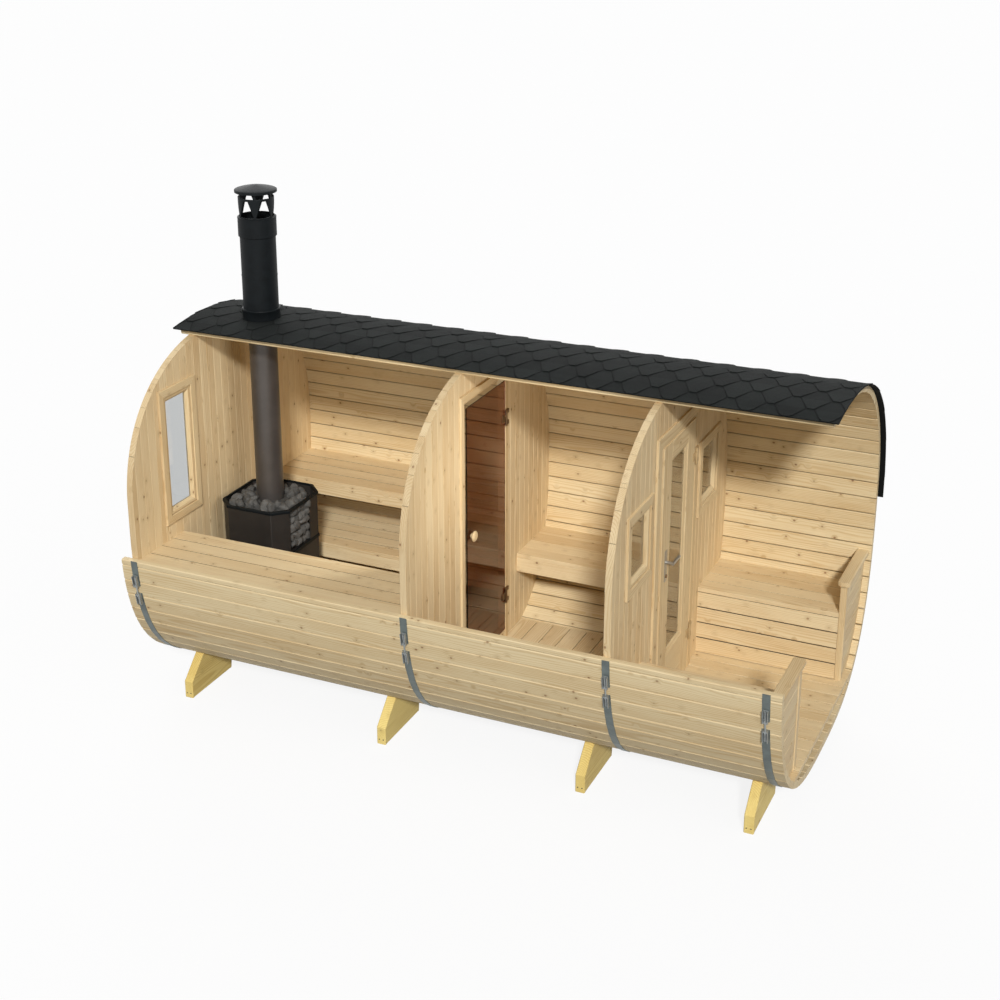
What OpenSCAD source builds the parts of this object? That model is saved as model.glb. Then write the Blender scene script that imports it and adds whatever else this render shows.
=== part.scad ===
// Barrel sauna on four cradles, its near side cut away over three rooms.
// Millimetres. X runs along the barrel to the porch, Z is up, the ground is Z = 0.

/* [Barrel] */
// Length of every stave
stave_length = 4000; // [2600:10:6000]
// Outside width of the barrel
barrel_width = 2120; // [1800:10:2400]
// Height of the barrel over its widest level
upper_height = 945; // [850:5:1150]
// Depth of the barrel under its widest level
lower_depth = 1170; // [1100:5:1300]
// Roundness of the upper half, 2 is a plain ellipse
upper_roundness = 2.25; // [2:0.05:3]
// Roundness of the lower half, 2 is a plain ellipse
lower_roundness = 2.9; // [2:0.05:4]
// Thickness of a stave
stave_thickness = 40; // [28:1:55]
// Width of a stave, fitted to a whole number
stave_width = 102; // [70:1:160]
// Share of the first stave left at the lower cut
first_stave_share = 0.36; // [0.3:0.02:1]
// Gap between two staves
stave_gap = 0.4; // [0.2:0.1:1]
// Bevel on the edges of a stave
stave_bevel = 5; // [2:0.5:8]
// Drop of the lower cut under the widest level
low_cut_drop = 300; // [150:10:500]
// Distance of the upper cut from the mid plane
top_cut_reach = 307; // [100:1:600]
// Free height under the barrel
ground_clearance = 130; // [80:5:200]

/* [Walls] */
// Thickness of the three cross walls
wall_thickness = 40; // [25:1:60]
// Distance of the gable wall from its end of the barrel
gable_inset = 50; // [20:5:120]
// Distance of the partition from the same end
partition_place = 1836; // [1500:1:2400]
// Distance of the front wall from the porch end
front_wall_inset = 971; // [700:1:1400]
// Height of the room floors over the inside bottom
room_floor_rise = 76; // [60:1:120]
// Height of the porch floor over the inside bottom
porch_floor_rise = 122; // [100:1:140]
// Thickness of boards in floors and seats
board_thickness = 28; // [18:1:40]
// Clear joint between neighbouring wooden pieces
panel_joint = 0.4; // [0.2:0.1:1]
// Play where a piece lies on the round of the staves
seat_gap = 0.1; // [0.05:0.05:0.3]

/* [Doors] */
// Width of the glass door of the hot room
sauna_door_width = 542; // [450:1:700]
// Wall left between the roof and the frame of the glass door
sauna_door_room = 129; // [80:1:300]
// Thickness of the door glass
door_glass_thickness = 8; // [6:1:12]
// Width of the wooden front door
front_door_width = 558; // [450:1:700]
// Wall left between the roof and the frame of the front door
front_door_room = 177; // [80:1:300]
// Thickness of the front door
front_door_thickness = 40; // [30:1:50]
// Height of the door sills over the room floor
sill_height = 59; // [50:1:75]
// Clear space round a closed door
door_clearance = 8; // [7:0.5:12]
// Width of the jambs of the glass door
sauna_jamb = 50; // [50:1:110]
// Width of the jambs of the front door
front_jamb = 78; // [50:1:110]
// Height of the head over the glass door
sauna_head = 70; // [40:1:110]
// Height of the head over the front door
front_head = 67; // [40:1:110]
// Stand-off of all frames from the wall
frame_proud = 14; // [6:1:25]
// Stand-off of a closed door from its frame
leaf_proud = 5; // [5:0.5:8]
// Radius of the hinge barrels
hinge_radius = 7; // [5:0.5:10]
// Running gap of the hinges
hinge_gap = 1.5; // [1:0.5:3]
// Length of a hinge
hinge_length = 96; // [60:4:140]
// Width of a hinge leaf
hinge_leaf = 46; // [30:2:70]
// Thickness of a hinge leaf
hinge_plate = 5; // [3:0.5:7]
// Distance of the hinges from the ends of the door
hinge_inset = 236; // [120:2:400]
// Width of the stiles of the front door
stile_width = 150; // [80:2:180]
// Height of the top rail of the front door
top_rail = 119; // [80:1:200]
// Height of the bottom rail of the front door
bottom_rail = 295; // [120:5:340]
// Height of the knob over the room floor
knob_height = 909; // [750:1:1050]
// Distance of the knob from the free edge
knob_inset = 55; // [40:1:120]
// Height of the lever handle over the room floor
lever_height = 961; // [750:1:1100]
// Distance of the lever handle from the free edge
lever_inset = 75; // [40:1:110]

/* [Windows] */
// Thickness of the panes
pane_thickness = 10; // [6:1:20]
// Width of the window frames
frame_width = 82; // [40:1:110]
// Wall left between the staves and the upper corner of the gable window
gable_window_margin = 59; // [40:1:120]
// Width over the frame of the gable window
gable_window_width = 374; // [280:2:420]
// Height over the frame of the gable window
gable_window_height = 853; // [600:5:900]
// Sill of the gable window over the room floor
gable_window_sill = 846; // [780:1:950]
// Wall left between the door frame and a front window
front_window_gap = 47; // [25:1:90]
// Wall left between the staves and the upper corner of a front window
front_window_margin = 130; // [60:2:180]
// Height over the frame of a front window
front_window_height = 476; // [350:2:550]
// Sill of the front windows over the room floor
front_window_sill = 984; // [900:1:1050]

/* [Seats] */
// Distance of the hot room benches from the mid plane
bench_reach = 534; // [480:2:620]
// Height of the hot room benches over the floor
bench_height = 742; // [650:1:800]
// Height of the bench fronts
bench_front = 106; // [60:2:160]
// Height of the step bench over the floor
step_height = 374; // [280:1:420]
// Distance of the step bench from the mid plane
step_reach = 370; // [350:5:460]
// Distance of the changing room seat from the mid plane
seat_reach = 498; // [420:2:600]
// Height of the changing room seat over the floor
seat_height = 489; // [380:1:520]
// Height of the front of that seat
seat_front = 124; // [60:2:160]
// Distance of the porch seats from the mid plane
porch_reach = 514; // [420:2:600]
// Height of the porch seats over the porch floor
porch_seat_height = 438; // [350:2:520]

/* [Railings] */
// Distance of the railings from the porch end
rail_inset = 30; // [15:5:120]
// Thickness of a railing panel
rail_thickness = 40; // [25:1:60]
// Height of the railings over the porch floor
rail_height = 648; // [500:2:900]
// Width of the railing caps
cap_width = 74; // [50:2:110]
// Reach of a cap past the post
cap_reach = 16; // [10:2:40]

/* [Cradles] */
// Places of the cradles along the barrel as shares of its length
cradle_shares = [0.0595, 0.3947, 0.7077, 0.9507];
// Thickness of a cradle
cradle_thickness = 57; // [40:1:90]
// Distance of the cradle ends from the mid plane
cradle_reach = 806; // [650:2:900]
// Inner end of a cradle foot from the mid plane
foot_inner = 370; // [200:5:500]
// Height of the blunt end of a cradle
foot_height = 108; // [60:2:160]
// Height of the free space between the feet
foot_arch = 52; // [30:2:90]

/* [Bands] */
// Places of the straps along the barrel as shares of its length
band_shares = [0.0223, 0.4675, 0.764, 0.9796];
// Width of a strap
band_width = 43; // [25:1:60]
// Thickness of a strap
band_thickness = 3; // [2:0.5:5]
// Stave that carries the tensioners, counted from the lower cut
tension_stave_count = 2; // [1:1:5]
// Share of that stave left free between the strap ends
tension_share = 0.5; // [0.3:0.05:0.7]
// Height of the tensioner brackets
lug_height = 22; // [16:1:40]
// Thickness of the bracket end that holds the rod
lug_thickness = 9; // [4:1:14]
// Length of a bracket along the strap
bracket_length = 74; // [50:1:100]
// Width of a bracket
bracket_width = 30; // [24:1:40]
// Thickness of the flanges of a bracket
bracket_flange = 5; // [3:0.5:7]
// Radius of the tensioner rod
rod_radius = 5; // [3:0.5:8]
// Length of the tensioner rod
rod_length = 186; // [110:2:240]

/* [Roof] */
// Thickness of the shingle covering
shingle_thickness = 9; // [4:1:15]
// Overhang of the shingles at the ends
shingle_overhang = 32; // [10:1:60]
// Overhang of the shingles at the upper cut
eave_overhang = 30; // [10:1:60]
// Staves left bare on the far side under the shingles, from the widest level down
bare_drop = 107; // [40:1:300]

/* [Stove] */
// Distance of the stove and its flue from the gable end
stove_place = 386; // [350:1:700]
// Length of the stove along the barrel
stove_length = 482; // [380:2:560]
// Width of the stove
stove_width = 512; // [400:2:600]
// Height of the stove over the floor
stove_height = 829; // [650:1:900]
// Corner chamfer of the stove
stove_chamfer = 86; // [40:2:120]
// Thickness of the stove plates
stove_plate = 8; // [5:1:12]
// Depth of the stone pocket
pocket_depth = 300; // [180:5:400]
// Height of the rim over the side opening of the pocket
pocket_rim = 15; // [10:1:60]
// Plate left beside that opening on the far side
pocket_post = 100; // [20:5:140]
// Radius of the flue pipe
flue_radius = 86; // [60:1:95]
// Thickness of the flue wall
flue_wall = 4; // [3:0.5:8]
// Height of the stone heap over the rim
heap_height = 24; // [14:2:60]

/* [Chimney] */
// Radius of the insulated chimney
chimney_radius = 108; // [102:1:115]
// Height of the chimney over the roof
chimney_height = 510; // [300:5:900]
// Height of the wider foot of the chimney over the roof
chimney_foot = 60; // [30:5:120]
// Radius of that foot and of the collar of the cowl
collar_radius = 116; // [112:1:130]
// Height of the collar
collar_height = 118; // [60:2:180]
// Height of the ring of windows over the collar
cowl_ring = 119; // [80:1:180]
// Height of the sills of the windows over the collar
cowl_sill = 4; // [2:1:10]
// Height of the band over the windows
cowl_band = 14; // [8:1:24]
// Height of the open gap between that band and the cap
cowl_gap = 28; // [10:1:50]
// Width of the legs that carry the cap
cowl_leg = 14; // [8:1:24]
// Windows round the cowl
cowl_window_count = 6; // [4:1:8]
// Radius of the cap
cap_radius = 127; // [118:1:150]
// Rise of the domed cap
cap_rise = 30; // [15:1:60]
// Thickness of the rim of the cap
cap_rim = 14; // [6:1:24]

/* [Hidden] */
$fn = 64;
overrun = 10;
profile_sample_count = 720;
open_step_count = 20;
half_width = barrel_width/2;
axis_height = lower_depth + ground_clearance;
inner_depth = lower_depth - stave_thickness;
room_floor = axis_height - inner_depth + room_floor_rise;
porch_floor = axis_height - inner_depth + porch_floor_rise;
left_end = -stave_length/2;
right_end = stave_length/2;
gable_face = left_end + gable_inset + wall_thickness;
partition_back = left_end + partition_place;
partition_face = partition_back + wall_thickness;
front_back = right_end - front_wall_inset;
front_face = front_back + wall_thickness;
stove_x = left_end + stove_place;
rail_back = right_end - rail_inset - rail_thickness;
sauna_frame_face = partition_face + frame_proud;
front_frame_face = front_face + frame_proud;
wood = [0.82, 0.70, 0.50];
warm_wood = [0.76, 0.61, 0.42];
cradle_wood = [0.80, 0.70, 0.38];
roof_grey = [0.16, 0.17, 0.17];
steel = [0.45, 0.48, 0.47];
iron = [0.13, 0.13, 0.13];
clear_glass = [0.75, 0.80, 0.82, 0.5];
brown_glass = [0.35, 0.20, 0.13, 0.6];

// Outline of the barrel: two half super-ellipses on one widest level, by polar angle from the far side
function bend(a) = sin(a) < 0 ? lower_roundness : upper_roundness;
function reach(a) = sin(a) < 0 ? lower_depth : upper_height;
function outline(a) = [cos(a), sin(a)]
    * pow(pow(abs(cos(a))/half_width, bend(a)) + pow(abs(sin(a))/reach(a), bend(a)), -1/bend(a));
low_cut_y = half_width*pow(1 - pow(low_cut_drop/lower_depth, lower_roundness), 1/lower_roundness);
top_cut_z = upper_height*pow(1 - pow(top_cut_reach/half_width, upper_roundness), 1/upper_roundness);
first_angle = 180 + atan2(low_cut_drop, low_cut_y);
last_angle = 360 + atan2(top_cut_z, -top_cut_reach);

// Stave joints at equal steps of arc length from the lower cut, under the barrel, to the upper cut
sample_angles = [for (i = [0:profile_sample_count])
    first_angle + (last_angle - first_angle)*i/profile_sample_count];
sample_arcs = [for (i = 0, s = 0; i <= profile_sample_count;
    s = s + norm(outline(sample_angles[min(i + 1, profile_sample_count)]) - outline(sample_angles[i])),
    i = i + 1) s];
arc_to_angle = [for (i = [0:profile_sample_count]) [sample_arcs[i], sample_angles[i]]];
whole_arc = sample_arcs[profile_sample_count];
stave_count = round(whole_arc/stave_width);
stave_pitch = whole_arc/(stave_count - 1 + first_stave_share);
function joint_angle(k) = lookup(k == 0 ? 0 : stave_pitch*(k - 1 + first_stave_share), arc_to_angle);
open_angle = first_angle + 360 - last_angle;
ring_angles = concat([for (k = [0:stave_count]) joint_angle(k)],
    [for (j = [1:open_step_count - 1]) last_angle + open_angle*j/open_step_count]);
ring = [for (a = ring_angles) outline(a)];
ring_count = len(ring);

// Facet direction, outward normal and a joint moved out by e square to both of its facets
function facet(i) = let (d = ring[(i + 1)%ring_count] - ring[i%ring_count]) d/norm(d);
function normal(i) = let (d = facet(i)) [d[1], -d[0]];
function joint(i, e) = let (a = normal((i + ring_count - 1)%ring_count), b = normal(i%ring_count), m = a + b)
    ring[i%ring_count] + e*m/(m*b);
function between(p, q, share) = p + (q - p)*share;
function on_stave(k, share, e) = between(joint(k, e), joint(k + 1, e), share);

// Inside half width at a rise over the widest level; height of the ceiling at a distance from the mid plane
inner_width = half_width - stave_thickness;
inner_height = upper_height - stave_thickness;
function room_half(rise) = inner_width*pow(1 - pow(rise/inner_height, upper_roundness), 1/upper_roundness);
function ceiling(y) = axis_height
    + inner_height*pow(1 - pow(y/inner_width, upper_roundness), 1/upper_roundness);

// A section drawn on the Y and Z axes round the widest level, carried along X
module along(x, length)
    translate([x, 0, axis_height]) rotate([90, 0, 90]) linear_extrude(length) children();

module block(low, high) translate(low) cube(high - low);

module barrel_room(x, length)
    along(x, length) polygon([for (i = [0:ring_count - 1]) joint(i, -stave_thickness - seat_gap)]);

module stave(k) {
    d = facet(k);
    p = joint(k, 0) + d*stave_gap/2;
    q = joint(k + 1, 0) - d*stave_gap/2;
    r = joint(k + 1, -stave_thickness) - d*stave_gap/2;
    s = joint(k, -stave_thickness) + d*stave_gap/2;
    share = stave_bevel/stave_thickness;
    along(left_end, stave_length) polygon([
        p + d*stave_bevel, q - d*stave_bevel, between(q, r, share), between(r, q, share),
        r - d*stave_bevel, s + d*stave_bevel, between(s, p, share), between(p, s, share)]);
}

module staves(from_angle, to_angle)
    for (k = [0:stave_count - 1])
        let (middle = (joint_angle(k) + joint_angle(k + 1))/2)
            if (middle >= from_angle && middle < to_angle) stave(k);

near_turn_angle = 235;
bottom_turn_angle = 305;
far_turn_angle = 360;
roof_turn_angle = 410;
module staves_near() color(wood) staves(first_angle, near_turn_angle);
module staves_bottom() color(wood) staves(near_turn_angle, bottom_turn_angle);
module staves_far_low() color(wood) staves(bottom_turn_angle, far_turn_angle);
module staves_far_high() color(wood) staves(far_turn_angle, roof_turn_angle);
module staves_roof() color(wood) difference() {
    staves(roof_turn_angle, last_angle);
    flue_hole();
}

module flue_hole()
    translate([stove_x, 0, axis_height])
        cylinder(h = upper_height + shingle_low + shingle_thickness + overrun, r = flue_radius + stave_gap);

// The shingle covering runs from the upper cut over the top to the far side
shingle_first = min([for (k = [0:stave_count - 1]) if (ring[k][0] > 0 && ring[k][1] > -bare_drop) k]);
shingle_low = band_thickness + 2*seat_gap;
module roof_shingles() color(roof_grey) {
    low = shingle_low;
    high = shingle_low + shingle_thickness;
    tail = facet(stave_count - 1)*eave_overhang;
    difference() {
        along(left_end - shingle_overhang, stave_length + 2*shingle_overhang) polygon(concat(
            [for (k = [shingle_first:stave_count]) joint(k, high)],
            [joint(stave_count, high) + tail, joint(stave_count, low) + tail],
            [for (k = [stave_count:-1:shingle_first]) joint(k, low)]));
        flue_hole();
    }
}

// A steel strap round the staves, open on one stave where a rod between two brackets draws it tight
module strap(from_joint, from_share, to_joint, to_share)
    along(-band_width/2, band_width) polygon(concat(
        [on_stave(from_joint, from_share, band_thickness)],
        [for (k = [from_joint + 1:to_joint]) joint(k, band_thickness)],
        [on_stave(to_joint, to_share, band_thickness), on_stave(to_joint, to_share, seat_gap)],
        [for (k = [to_joint:-1:from_joint + 1]) joint(k, seat_gap)],
        [on_stave(from_joint, from_share, seat_gap)]));

module tensioner() {
    d = facet(tension_stave_count);
    low_share = (1 - tension_share)/2;
    high_share = (1 + tension_share)/2;
    middle = on_stave(tension_stave_count, (low_share + high_share)/2, band_thickness);
    span = norm(on_stave(tension_stave_count, high_share, 0) - on_stave(tension_stave_count, low_share, 0));
    translate([0, middle[0], middle[1] + axis_height]) rotate([atan2(d[1], d[0]), 0, 0]) {
        for (side = [0, 1]) mirror([0, side, 0]) translate([0, span/2, 0]) difference() {
            block([-bracket_width/2, 0, -lug_height], [bracket_width/2, bracket_length, band_thickness/2]);
            block([bracket_flange - bracket_width/2, lug_thickness, -lug_height - overrun],
                [bracket_width/2 - bracket_flange, bracket_length + overrun, -bracket_flange]);
        }
        translate([0, 0, -lug_height/2]) rotate([90, 0, 0])
            cylinder(h = rod_length, r = rod_radius, center = true);
    }
}

module band(n) color(steel) translate([left_end + stave_length*band_shares[n], 0, 0]) {
    strap(0, 0, tension_stave_count, (1 - tension_share)/2);
    strap(tension_stave_count, (1 + tension_share)/2, stave_count - 1, 1);
    tensioner();
}
module band_1() band(0);
module band_2() band(1);
module band_3() band(2);
module band_4() band(3);

// Each cradle is a board hollowed to the staves, with two feet and a free space between them
module cradle(n) color(cradle_wood) difference() {
    slope = half_width;
    along(left_end + stave_length*cradle_shares[n] - cradle_thickness/2, cradle_thickness) polygon([
        [-cradle_reach, -axis_height], [-foot_inner, -axis_height],
        [-foot_inner, foot_arch - axis_height], [foot_inner, foot_arch - axis_height],
        [foot_inner, -axis_height], [cradle_reach, -axis_height],
        [cradle_reach, foot_height - axis_height], [cradle_reach - slope, foot_height + slope - axis_height],
        [slope - cradle_reach, foot_height + slope - axis_height],
        [-cradle_reach, foot_height - axis_height]]);
    along(left_end - overrun, stave_length + 2*overrun)
        polygon([for (i = [0:ring_count - 1]) joint(i, seat_gap)]);
}
module cradle_1() cradle(0);
module cradle_2() cradle(1);
module cradle_3() cradle(2);
module cradle_4() cradle(3);

// A part of a cross wall, cut to the round of the barrel
module panel(x, y_low, y_high, z_low, z_high) intersection() {
    barrel_room(x, wall_thickness);
    block([x, y_low, z_low], [x + wall_thickness, y_high, z_high]);
}

// A wall between y_low and y_high, in four parts round a window hole
module window_wall(x, y_low, y_high, hole_low, hole_high, sill, top) {
    panel(x, y_low, hole_low, 0, wall_high);
    panel(x, hole_high, y_high, 0, wall_high);
    panel(x, hole_low + panel_joint, hole_high - panel_joint, 0, sill);
    panel(x, hole_low + panel_joint, hole_high - panel_joint, top, wall_high);
}

wall_high = axis_height + upper_height;
gable_sill = room_floor + gable_window_sill;
front_sill = room_floor + front_window_sill;
gable_top = gable_sill + gable_window_height;
front_window_top = front_sill + front_window_height;
sauna_half = sauna_door_width/2 + door_clearance + sauna_jamb;
front_half = front_door_width/2 + door_clearance + front_jamb;
sauna_top = ceiling(sauna_half) - sauna_door_room;
front_top = ceiling(front_half) - front_door_room;
leaf_low = room_floor + sill_height + door_clearance;
sauna_leaf_high = sauna_top - sauna_head - door_clearance;
front_leaf_high = front_top - front_head - door_clearance;
gable_window_outer = room_half(gable_top - axis_height) - gable_window_margin;
gable_window_inner = gable_window_outer - gable_window_width;
front_window_inner = front_half + front_window_gap;
front_window_outer = room_half(front_window_top - axis_height) - front_window_margin;

module gable_wall() color(warm_wood) window_wall(gable_face - wall_thickness, -half_width, half_width,
    -gable_window_outer, -gable_window_inner, gable_sill, gable_top);

module partition_wall() color(wood) {
    panel(partition_back, -half_width, -sauna_half, 0, wall_high);
    panel(partition_back, sauna_half, half_width, 0, wall_high);
    panel(partition_back, panel_joint - sauna_half, sauna_half - panel_joint, sauna_top, wall_high);
    panel(partition_back, panel_joint - sauna_half, sauna_half - panel_joint, 0, room_floor);
}

module front_wall() color(wood) {
    window_wall(front_back, -half_width, -front_half,
        -front_window_outer, -front_window_inner, front_sill, front_window_top);
    window_wall(front_back, front_half, half_width,
        front_window_inner, front_window_outer, front_sill, front_window_top);
    panel(front_back, panel_joint - front_half, front_half - panel_joint, front_top, wall_high);
    panel(front_back, panel_joint - front_half, front_half - panel_joint, 0, porch_floor);
}

// Four bars round a window hole, standing out from the wall on the side that is seen
module frame_bars(back, face, y_low, y_high, z_low, z_high) {
    block([back, y_low, z_low], [face, y_low + frame_width, z_high]);
    block([back, y_high - frame_width, z_low], [face, y_high, z_high]);
    block([back, y_low + frame_width + panel_joint, z_low],
        [face, y_high - frame_width - panel_joint, z_low + frame_width]);
    block([back, y_low + frame_width + panel_joint, z_high - frame_width],
        [face, y_high - frame_width - panel_joint, z_high]);
}
module pane(middle, y_low, y_high, z_low, z_high)
    block([middle - pane_thickness/2, y_low + frame_width, z_low + frame_width],
        [middle + pane_thickness/2, y_high - frame_width, z_high - frame_width]);

module gable_window_frame() color(wood) frame_bars(gable_face - wall_thickness, gable_face + frame_proud,
    -gable_window_outer, -gable_window_inner, gable_sill, gable_top);
module gable_window_glass() color(clear_glass) pane(gable_face - wall_thickness/2,
    -gable_window_outer, -gable_window_inner, gable_sill, gable_top);
module front_window_near_frame() color(wood) frame_bars(front_back, front_frame_face,
    -front_window_outer, -front_window_inner, front_sill, front_window_top);
module front_window_near_glass() color(clear_glass) pane(front_face - wall_thickness/2,
    -front_window_outer, -front_window_inner, front_sill, front_window_top);
module front_window_far_frame() color(wood) frame_bars(front_back, front_frame_face,
    front_window_inner, front_window_outer, front_sill, front_window_top);
module front_window_far_glass() color(clear_glass) pane(front_face - wall_thickness/2,
    front_window_inner, front_window_outer, front_sill, front_window_top);

// Two jambs, a head and a sill round a door, on the floor at its foot
module door_frame(back, face, half, jamb, foot, top, head) color(wood) {
    block([back, -half, foot], [face, jamb - half, top]);
    block([back, half - jamb, foot], [face, half, top]);
    block([back, jamb - half + panel_joint, top - head], [face, half - jamb - panel_joint, top]);
    block([back, jamb - half + panel_joint, foot],
        [face, half - jamb - panel_joint, room_floor + sill_height]);
}
module sauna_door_frame()
    door_frame(partition_back, sauna_frame_face, sauna_half, sauna_jamb, room_floor, sauna_top, sauna_head);
module front_door_frame()
    door_frame(front_back, front_frame_face, front_half, front_jamb, porch_floor, front_top, front_head);

// Middle hinge barrels on the turning line, each with a plate on the face of the door
module leaf_hinges(face, half, low, high) {
    long = hinge_length/2 - hinge_gap;
    for (z = [low + hinge_inset, high - hinge_inset]) {
        translate([face + hinge_gap + hinge_radius, half, z])
            cylinder(h = long, r = hinge_radius, center = true);
        block([face, half - hinge_leaf, z - long/2], [face + hinge_plate, half, z + long/2]);
    }
}
// Outer hinge barrels over and under each middle one, on plates on the face of the frame
module frame_hinges(face, half, low, high) {
    long = hinge_length/4;
    for (z = [low + hinge_inset, high - hinge_inset], side = [-1, 1]) {
        translate([face + leaf_proud + hinge_gap + hinge_radius, half, z + side*(hinge_length - long)/2])
            cylinder(h = long, r = hinge_radius, center = true);
        translate([face, half, z + side*(hinge_length - long)/2 - long/2])
            cube([leaf_proud + hinge_gap + hinge_plate, hinge_leaf, long]);
    }
}
module sauna_frame_hinges() color(steel)
    frame_hinges(sauna_frame_face, sauna_door_width/2, leaf_low, sauna_leaf_high);
module front_frame_hinges() color(steel)
    frame_hinges(front_frame_face, front_door_width/2, leaf_low, front_leaf_high);

sauna_leaf_face = sauna_frame_face + leaf_proud;
front_leaf_face = front_frame_face + leaf_proud;
module sauna_door() color(brown_glass)
    block([sauna_leaf_face - door_glass_thickness, -sauna_door_width/2, leaf_low],
        [sauna_leaf_face, sauna_door_width/2, sauna_leaf_high]);
module sauna_door_hinges() color(steel)
    leaf_hinges(sauna_leaf_face, sauna_door_width/2, leaf_low, sauna_leaf_high);

knob_neck = 8;
knob_neck_radius = 12;
knob_radius = 33;
knob_depth = 24;
module sauna_door_knob() color(wood)
    translate([sauna_leaf_face, knob_inset - sauna_door_width/2, room_floor + knob_height])
        rotate([0, 90, 0]) {
            cylinder(h = knob_neck + knob_depth, r = knob_neck_radius);
            translate([0, 0, knob_neck]) cylinder(h = knob_depth, r = knob_radius);
        }

module front_door_leaf() color(wood) {
    back = front_leaf_face - front_door_thickness;
    half = front_door_width/2;
    high = front_leaf_high;
    block([back, -half, leaf_low], [front_leaf_face, stile_width - half, high]);
    block([back, half - stile_width, leaf_low], [front_leaf_face, half, high]);
    block([back, stile_width - half + panel_joint, leaf_low],
        [front_leaf_face, half - stile_width - panel_joint, leaf_low + bottom_rail]);
    block([back, stile_width - half + panel_joint, high - top_rail],
        [front_leaf_face, half - stile_width - panel_joint, high]);
}
module front_door_glass() color(clear_glass)
    block([front_leaf_face - (front_door_thickness + pane_thickness)/2, stile_width - front_door_width/2,
        leaf_low + bottom_rail],
        [front_leaf_face - (front_door_thickness - pane_thickness)/2, front_door_width/2 - stile_width,
        front_leaf_high - top_rail]);

plate_width = 34;
plate_height = 190;
plate_thickness = 4;
lever_drop = 72;
lever_stand = 46;
lever_radius = 9;
lever_length = 118;
// A long plate and a lever that points to the hinge side
module handle_side() {
    block([0, -plate_width/2, -plate_height + lever_drop], [plate_thickness, plate_width/2, lever_drop]);
    rotate([0, 90, 0]) cylinder(h = lever_stand, r = lever_radius);
    translate([lever_stand, -lever_radius, 0]) rotate([-90, 0, 0])
        cylinder(h = lever_length, r = lever_radius);
}
module front_door_fittings() color(steel) {
    for (side = [0, 1])
        translate([front_leaf_face - front_door_thickness*side,
            lever_inset - front_door_width/2, room_floor + lever_height])
            mirror([side, 0, 0]) handle_side();
    leaf_hinges(front_leaf_face, front_door_width/2, leaf_low, front_leaf_high);
}

// A floor or seat cut to the round of the barrel, given for the far side and built on the far or the near one
far = [0, 0, 0];
near = [0, 1, 0];
module fitted(low, high, side = far) intersection() {
    barrel_room(low[0], high[0] - low[0]);
    mirror(side) block(low, high);
}
module floor_between(x_low, x_high, level)
    fitted([x_low, -half_width, level - board_thickness], [x_high, half_width, level]);
module sauna_floor() color(warm_wood) floor_between(gable_face, partition_back, room_floor);
module changing_floor() color(wood) floor_between(partition_face, front_back, room_floor);
module porch_floor_boards() color(wood) floor_between(front_face, right_end, porch_floor);

// A seat from its front edge to the staves, with a front board under the edge
module seat(x_low, x_high, start, level, front, side) {
    fitted([x_low, start, level - board_thickness], [x_high, half_width, level], side);
    mirror(side) block([x_low, start, level - front],
        [x_high, start + board_thickness, level - board_thickness - panel_joint]);
}
bench_top = room_floor + bench_height;
module sauna_bench_far() color(warm_wood)
    seat(gable_face, partition_back, bench_reach, bench_top, bench_front, far);
module sauna_bench_near() color(warm_wood)
    seat(gable_face, partition_back, bench_reach, bench_top, bench_front, near);
module sauna_step() color(warm_wood)
    seat(gable_face, partition_back, step_reach, room_floor + step_height, bench_front, far);
module changing_seat() color(wood)
    seat(partition_face, front_back, seat_reach, room_floor + seat_height, seat_front, far);
module porch_seat_far() color(wood)
    seat(front_face, rail_back, porch_reach, porch_floor + porch_seat_height, porch_seat_height, far);
module porch_seat_near() color(wood)
    seat(front_face, rail_back, porch_reach, porch_floor + porch_seat_height, porch_seat_height, near);

// A low panel from the porch floor to its cap, between the staves and the way in
module railing(side) {
    top = porch_floor + rail_height;
    middle = rail_back + rail_thickness/2;
    fitted([rail_back, porch_reach, porch_floor],
        [rail_back + rail_thickness, half_width, top - board_thickness - panel_joint], side);
    fitted([middle - cap_width/2, porch_reach - cap_reach, top - board_thickness],
        [middle + cap_width/2, half_width, top], side);
}
module railing_far() color(wood) railing(far);
module railing_near() color(wood) railing(near);

// Stove: chamfered case with an open stone pocket above and a free fire space below
module stove_section(inset) {
    x = stove_length/2 - inset;
    y = stove_width/2 - inset;
    c = stove_chamfer;
    polygon([[c - x, -y], [x - c, -y], [x, c - y], [x, y - c],
        [x - c, y], [c - x, y], [-x, y - c], [-x, c - y]]);
}
stove_top = room_floor + stove_height;
pocket_floor = stove_top - pocket_depth;
module stove_body() color(iron) translate([stove_x, 0, 0]) difference() {
    translate([0, 0, room_floor]) linear_extrude(stove_height) stove_section(0);
    translate([0, 0, pocket_floor]) linear_extrude(pocket_depth + overrun) stove_section(stove_plate);
    translate([0, 0, room_floor - overrun])
        linear_extrude(stove_height - pocket_depth - stove_plate + overrun) stove_section(stove_plate);
    block([0, stove_chamfer - stove_width/2, pocket_floor + stove_plate],
        [stove_length, stove_width/2 - stove_chamfer - pocket_post, stove_top - pocket_rim]);
}
heap_inset = 20;
heap_slope_share = 0.55;
module stove_stones() color(steel) translate([stove_x, 0, 0]) difference() {
    union() {
        translate([0, 0, pocket_floor]) linear_extrude(pocket_depth - heap_inset) stove_section(heap_inset);
        translate([0, 0, stove_top - heap_inset])
            linear_extrude(heap_height + heap_inset, scale = heap_slope_share) stove_section(heap_inset);
    }
    translate([0, 0, pocket_floor - overrun])
        cylinder(h = pocket_depth + heap_height + 2*overrun, r = flue_radius + stave_gap);
}
chimney_base = axis_height + upper_height + shingle_low + shingle_thickness;
chimney_top = chimney_base + chimney_height;
module tube(low, high, outside, inside) difference() {
    translate([0, 0, low]) cylinder(h = high - low, r = outside);
    translate([0, 0, low - overrun]) cylinder(h = high - low + 2*overrun, r = inside);
}
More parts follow.
